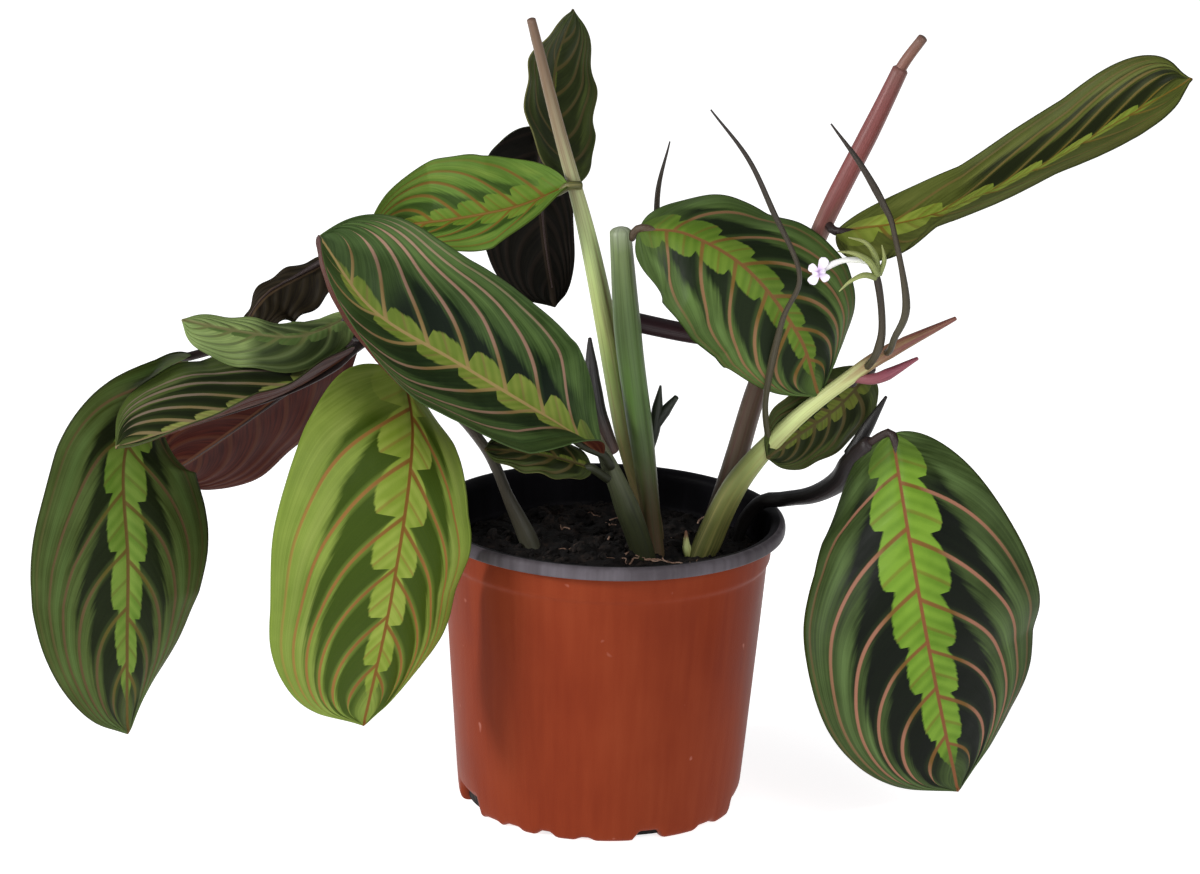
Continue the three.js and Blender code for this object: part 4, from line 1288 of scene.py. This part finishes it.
# %% [markdown]
# ### Leaf finishes
#
# The upper side of the leaf is satin, almost velvety. Its markings follow the veins: a lime
# band whose edge steps back once between two veins, blotches with feathered outer ends, and a
# green margin with fine streaks. They could be painted on the blade, but nodes that read the
# blade's notes keep them sharp and in step with the veins. The underside is smooth burgundy.

# %% Tones of the upper side, and how far blotches, halos and the steps of the band reach
PALETTES = {
    "mature": {
        "band": ("#6a8a2c", "#54741e"), "blotch": "#050805", "margin": ("#202c0e", "#3e4e28"),
        "gleam": "#5a7040", "rib": "#75492b", "band_vein": "#65491f", "vein": "#8b5f4c",
        "outer_vein": "#614c30", "rim": "#2a310e", "blotch_reach": 0.54, "blotch_share": 0.95,
        "halo": 0.25, "notch": 0.66,
    },
    "fresh": {
        "band": ("#5e7628", "#4c661e"), "blotch": "#0c1408", "margin": ("#32441a", "#4c6030"),
        "gleam": "#5f7840", "rib": "#70502c", "band_vein": "#654c20", "vein": "#7c5c40",
        "outer_vein": "#5c5430", "rim": "#2c3c14", "blotch_reach": 0.5, "blotch_share": 0.92,
        "halo": 0.45, "notch": 0.6,
    },
    "shaded": {
        "band": ("#6a8434", "#527022"), "blotch": "#0c1404", "margin": ("#343f16", "#4f6030"),
        "gleam": "#56703a", "rib": "#5f4c24", "band_vein": "#56501f", "vein": "#5c4a30",
        "outer_vein": "#4c4a26", "rim": "#28300f", "blotch_reach": 0.44, "blotch_share": 0.9,
        "halo": 0.6, "notch": 0.6,
    },
    "bright": {
        "band": ("#647a2c", "#547022"), "blotch": "#16280a", "margin": ("#45601e", "#5c7830"),
        "gleam": "#74883a", "rib": "#6f5320", "band_vein": "#6f5320", "vein": "#6b5223",
        "outer_vein": "#5f6426", "rim": "#3f5018", "blotch_reach": 0.46, "blotch_share": 0.75,
        "halo": 0.4, "notch": 0.6,
    },
    "young": {
        "band": ("#8a9a40", "#74882c"), "blotch": "#2c3f02", "margin": ("#62762a", "#7e903e"),
        "gleam": "#88964a", "rib": "#744e1e", "band_vein": "#80562a", "vein": "#8c6232",
        "outer_vein": "#8a7838", "rim": "#66782c", "blotch_reach": 0.58, "blotch_share": 0.92,
        "halo": 0.55, "notch": 0.3,
    },
    "striped": {
        "band": ("#8c9844", "#728634"), "blotch": "#0a1410", "margin": ("#283a18", "#4a6034"),
        "gleam": "#647e44", "rib": "#a8905c", "band_vein": "#8c7048", "vein": "#9c7a68",
        "outer_vein": "#867a60", "rim": "#3a4c26", "blotch_reach": 0.46, "blotch_share": 0.92,
        "halo": 0.4, "notch": 0.3,
    },
    "folded": {
        "band": ("#8f9450", "#6f7a38"), "blotch": "#10140a", "margin": ("#36431c", "#55642e"),
        "gleam": "#5c6440", "rib": "#8a7a58", "band_vein": "#7c6c48", "vein": "#7c6c5c",
        "outer_vein": "#6c6450", "rim": "#3c4226", "blotch_reach": 0.62, "blotch_share": 0.9,
        "halo": 0.3, "notch": 0.4,
    },
    "pale": {
        "band": ("#5f7440", "#4c6030"), "blotch": "#263018", "margin": ("#54683a", "#86985a"),
        "gleam": "#7c8e58", "rib": "#6c6c44", "band_vein": "#5c6438", "vein": "#5c6840",
        "outer_vein": "#5c6a40", "rim": "#5c6c3c", "blotch_reach": 1.3, "blotch_share": 0.95,
        "halo": 0.25, "notch": 0.6,
    },
    "dim": {
        "band": ("#5c6426", "#48561e"), "blotch": "#141a08", "margin": ("#262c12", "#3c4620"),
        "gleam": "#4a5628", "rib": "#4c4426", "band_vein": "#484020", "vein": "#4c4428",
        "outer_vein": "#404020", "rim": "#5a5a34", "blotch_reach": 0.6, "blotch_share": 0.9,
        "halo": 0.3, "notch": 0.5,
    },
    "olive": {
        "band": ("#84923a", "#6c7c28"), "blotch": "#0e1404", "margin": ("#3a4012", "#565e28"),
        "gleam": "#6a7034", "rib": "#70581f", "band_vein": "#6c5a22", "vein": "#63562b",
        "outer_vein": "#585026", "rim": "#2c3010", "blotch_reach": 0.66, "blotch_share": 0.92,
        "halo": 0.35, "notch": 0.35,
    },
}


# %% Reading the notes
# Fine streaks between two side veins, and the breaks in a streak from the midrib to the margin
STREAKS = 12.0
STREAK_BREAKS = 2.6


def vein_reading(tree):
    """The notes on the blade, and what follows from them, as sockets of a leaf's finish."""
    read = {note: add(tree, "Attribute", attribute_name=note, out=2) for note in NOTES}
    reach = add(tree, "Math", [read["side"]], operation="ABSOLUTE")
    right = add(tree, "Math", (read["side"], 0.0), operation="GREATER_THAN")
    turn = add(tree, "Math", (right, SIDE_SHIFT, read["veins"]), operation="MULTIPLY_ADD")
    spot = add(tree, "Math", [turn], operation="FRACT")
    middle = add(tree, "Math", (spot, 0.5), operation="SUBTRACT")
    nearness = add(tree, "Math", [middle], operation="ABSOLUTE")
    off_vein = add(tree, "Math", (0.5, nearness), operation="SUBTRACT")
    off_vein = add(tree, "Math", (off_vein, read["line"]), operation="DIVIDE")
    fine = add(tree, "Math", (turn, STREAKS), operation="MULTIPLY")
    long_way = add(tree, "Math", (reach, STREAK_BREAKS), operation="MULTIPLY")
    flow = add(tree, "CombineXYZ", (fine, long_way, right))
    streak = add(tree, "TexNoise", {"Vector": flow, "Scale": 1.0, "Detail": 3.0})
    read.update(reach=reach, right=right, turn=turn, spot=spot, nearness=nearness)
    read.update(off_vein=off_vein, streak=streak)
    return read


# %% [markdown]
# The upper side is built up in layers, as a painter would: green with streaks first, then the
# gleam between the veins, the blotches, the lime band, the veins, the midrib and the rim. Each
# layer has a cover, which says how much of it shows at a point, and a colour.


# %% Layers of the upper side
def streaked_green(tree, read, tones):
    """The margin's green, lighter and darker in streaks along the veins."""
    tone = add(tree, "Math", (read["cloud"], 0.8, read["streak"]), operation="MULTIPLY_ADD")
    tone = add(tree, "MapRange", {0: tone, 1: 0.62, 2: 1.15})
    low, high = (linear(c) for c in tones["margin"])
    return add(tree, "Mix", {0: tone, 6: low, 7: high}, out=2, data_type="RGBA")


def gleam(tree, read, tones):
    """A lighter patch midway between two veins, towards the margin."""
    cover = add(tree, "MapRange", {0: read["nearness"], 1: 0.3, 2: 0.05, 3: 0.0, 4: 1.0})
    far = add(tree, "MapRange", {0: read["reach"], 1: 0.55, 2: 0.68})
    near = add(tree, "MapRange", {0: read["reach"], 1: 0.95, 2: 0.72})
    for share in (far, near, read["streak"]):
        cover = add(tree, "Math", (cover, share), operation="MULTIPLY")
    return cover, linear(tones["gleam"])


def blotches(tree, read, tones):
    """Nearly black between the veins; each blotch has its own length and a feathered end."""
    interval = add(tree, "Math", [read["turn"]], operation="FLOOR")
    interval = add(tree, "Math", (read["right"], 0.5, interval), operation="MULTIPLY_ADD")
    chance = add(tree, "TexWhiteNoise", {"W": interval}, noise_dimensions="1D")
    feather = read["reach"]
    ripples = [(read["streak"], 0.18), (read["cloud"], 0.2), (chance, 0.14), (read["spot"], -0.36)]
    for ripple, share in ripples:
        feather = add(tree, "Math", (ripple, share, feather), operation="MULTIPLY_ADD")
    end = tones["blotch_reach"] + 0.08
    cover = add(tree, "MapRange", {0: feather, 1: end + 0.07, 2: end - 0.05})
    halo = 1 - tones["halo"]
    beside = add(tree, "MapRange", {0: read["off_vein"], 1: 1.2, 2: 3.6, 3: halo, 4: 1.0})
    for share in (beside, read["marked"], read["blots"], tones["blotch_share"]):
        cover = add(tree, "Math", (cover, share), operation="MULTIPLY")
    return cover, linear(tones["blotch"])


def lime_band(tree, read, tones):
    """Lime along the midrib, with an edge that steps back once between two veins."""
    tooth = add(tree, "Math", (read["right"], SIDE_SHIFT, read["lobes"]), operation="MULTIPLY_ADD")
    tooth = add(tree, "Math", (tooth, 0.5), operation="ADD")
    tooth = add(tree, "Math", [tooth], operation="FRACT")
    corner = add(tree, "MapRange", {0: tooth, 1: 1.0, 2: 0.86, 3: 0.1, 4: 0.0})
    tooth = add(tree, "Math", (1.0, tooth), operation="SUBTRACT")
    tooth = add(tree, "Math", (tooth, 2.6), operation="POWER")
    tooth = add(tree, "Math", (tooth, tones["notch"] - 1.06, 1.06), operation="MULTIPLY_ADD")
    tooth = add(tree, "Math", (tooth, corner), operation="SUBTRACT")
    edge = add(tree, "Math", (read["band"], tooth), operation="MULTIPLY")
    ragged = add(tree, "Math", (read["streak"], 0.05, -0.025), operation="MULTIPLY_ADD")
    edge = add(tree, "Math", (edge, ragged), operation="ADD")
    inside = add(tree, "Math", (edge, read["reach"]), operation="SUBTRACT")
    cover = add(tree, "MapRange", {0: inside, 1: -0.008, 2: 0.012})
    grown = add(tree, "MapRange", {0: read["marked"], 3: 0.4, 4: 1.0})
    cover = add(tree, "Math", (cover, grown), operation="MULTIPLY")
    tone = add(tree, "Math", (read["turn"], 8 * math.pi), operation="MULTIPLY")
    tone = add(tree, "Math", [tone], operation="SINE")
    tone = add(tree, "Math", (tone, 0.09, read["cloud"]), operation="MULTIPLY_ADD")
    tone = add(tree, "MapRange", {0: tone, 1: 0.35, 2: 0.65})
    pale, deep = (linear(c) for c in tones["band"])
    return cover, add(tree, "Mix", {0: tone, 6: pale, 7: deep}, out=2, data_type="RGBA")


def minor_veins(tree, read, tones, band):
    """A thin vein midway between two side veins, which shows on the lime band only."""
    cover = add(tree, "MapRange", {0: read["nearness"], 1: 0.05, 2: 0.02, 3: 0.0, 4: 0.45})
    cover = add(tree, "Math", (cover, band), operation="MULTIPLY")
    return cover, linear(tones["band_vein"])


def side_veins(tree, read, tones):
    """The arching veins, brown on the band, red past it and faint at the margin."""
    cover = add(tree, "MapRange", {0: read["off_vein"], 1: 1.3, 2: 0.7})
    born = add(tree, "MapRange", {0: read["marked"], 1: 0.02, 2: 0.3})
    fading = add(tree, "MapRange", {0: read["reach"], 1: 0.99, 2: 0.8, 3: 0.35, 4: 0.95})
    for share in (born, fading):
        cover = add(tree, "Math", (cover, share), operation="MULTIPLY")
    stops = [(0.0, tones["rib"]), (0.24, tones["band_vein"]), (0.38, tones["vein"])]
    stops += [(0.7, tones["vein"]), (0.95, tones["outer_vein"])]
    return cover, ramp(tree, read["reach"], stops)


# %% Upper side
def satin_leaf(name, tones):
    """The marked upper side of a maranta leaf, drawn from the notes on the blade."""
    material, tree, shader = new_finish("satin_leaf_" + name, 0.5, ior=1.42, specular=0.13)
    read = vein_reading(tree)
    place = add(tree, "TexCoord", out=3)
    read["cloud"] = add(tree, "TexNoise", {"Vector": place, "Scale": 0.055 / MM, "Detail": 3.0})
    band = lime_band(tree, read, tones)
    rib = add(tree, "MapRange", {0: read["across"], 1: 0.8, 2: 0.45})
    rim = add(tree, "MapRange", {0: read["reach"], 1: 0.972, 2: 0.995})
    layers = [gleam(tree, read, tones), blotches(tree, read, tones), band]
    layers += [minor_veins(tree, read, tones, band[0]), side_veins(tree, read, tones)]
    layers += [(rib, linear(tones["rib"])), (rim, linear(tones["rim"]))]
    skin = streaked_green(tree, read, tones)
    for cover, colour in layers:
        skin = add(tree, "Mix", {0: cover, 6: skin, 7: colour}, out=2, data_type="RGBA")
    tree.links.new(skin, shader.inputs["Base Color"])

    rough = add(tree, "MapRange", {0: read["streak"], 1: 0.3, 2: 0.7, 3: 0.42, 4: 0.58})
    tree.links.new(rough, shader.inputs["Roughness"])
    groove = add(tree, "MapRange", {0: read["off_vein"], 1: 0.4, 2: 1.6, 3: 0.0, 4: 0.5})
    height = add(tree, "Math", (read["streak"], 0.6, groove), operation="MULTIPLY_ADD")
    # The velvet of tiny cells is finer still, and is drawn about 0.6 mm wide so that it shows
    cells = add(tree, "TexNoise", {"Vector": place, "Scale": 1.8 / MM, "Detail": 1.0})
    height = add(tree, "Math", (cells, 0.25, height), operation="MULTIPLY_ADD")
    bump = add(tree, "Bump", {"Strength": 0.45, "Distance": 0.25 * MM, "Height": height})
    tree.links.new(bump, shader.inputs["Normal"])
    return material


uppers = {name: satin_leaf(name, tones) for name, tones in PALETTES.items()}
print("upper finishes:", len(uppers))


# %% Underside
UNDER_TONES = {
    "burgundy": ("#4a1e14", "#341310", "#5c3622", "#5e3c2a"),
    "green_black": ("#221c0e", "#150f0a", "#30281a", "#4c3c2a"),
    # deep is the burgundy underside painted nearly black: painted shade for the leaf that hangs in
    # shadow behind the others
    "deep": ("#12100a", "#0a0906", "#241c16", "#2a221a"),
}


def burgundy_underside(name, base, deep, vein, rib):
    """The smooth burgundy underside, with paler veins that stand up a little."""
    material, tree, shader = new_finish("burgundy_underside_" + name, 0.6, ior=1.42, specular=0.12)
    read = vein_reading(tree)
    tone = add(tree, "MapRange", {0: read["streak"], 1: 0.35, 2: 0.65})
    line = add(tree, "MapRange", {0: read["off_vein"], 1: 1.8, 2: 0.8, 3: 0.0, 4: 0.45})
    ribbed = add(tree, "MapRange", {0: read["across"], 1: 1.2, 2: 0.8})
    skin = linear(base)
    for cover, colour in ((tone, deep), (line, vein), (ribbed, rib)):
        layer = {0: cover, 6: skin, 7: linear(colour)}
        skin = add(tree, "Mix", layer, out=2, data_type="RGBA")
    tree.links.new(skin, shader.inputs["Base Color"])
    height = add(tree, "MapRange", {0: read["off_vein"], 1: 2.5, 2: 0.5, 3: 0.0, 4: 0.6})
    height = add(tree, "Math", (read["streak"], 0.5, height), operation="MULTIPLY_ADD")
    bump = add(tree, "Bump", {"Strength": 0.5, "Distance": 0.3 * MM, "Height": height})
    tree.links.new(bump, shader.inputs["Normal"])
    return material


unders = {name: burgundy_underside(name, *tones) for name, tones in UNDER_TONES.items()}
print("underside finishes:", len(unders))

# %% Leaves
for number, (node, leaf) in enumerate(LEAVES.items()):
    grow_leaf(node, {**USUAL_LEAF, **leaf}, number)
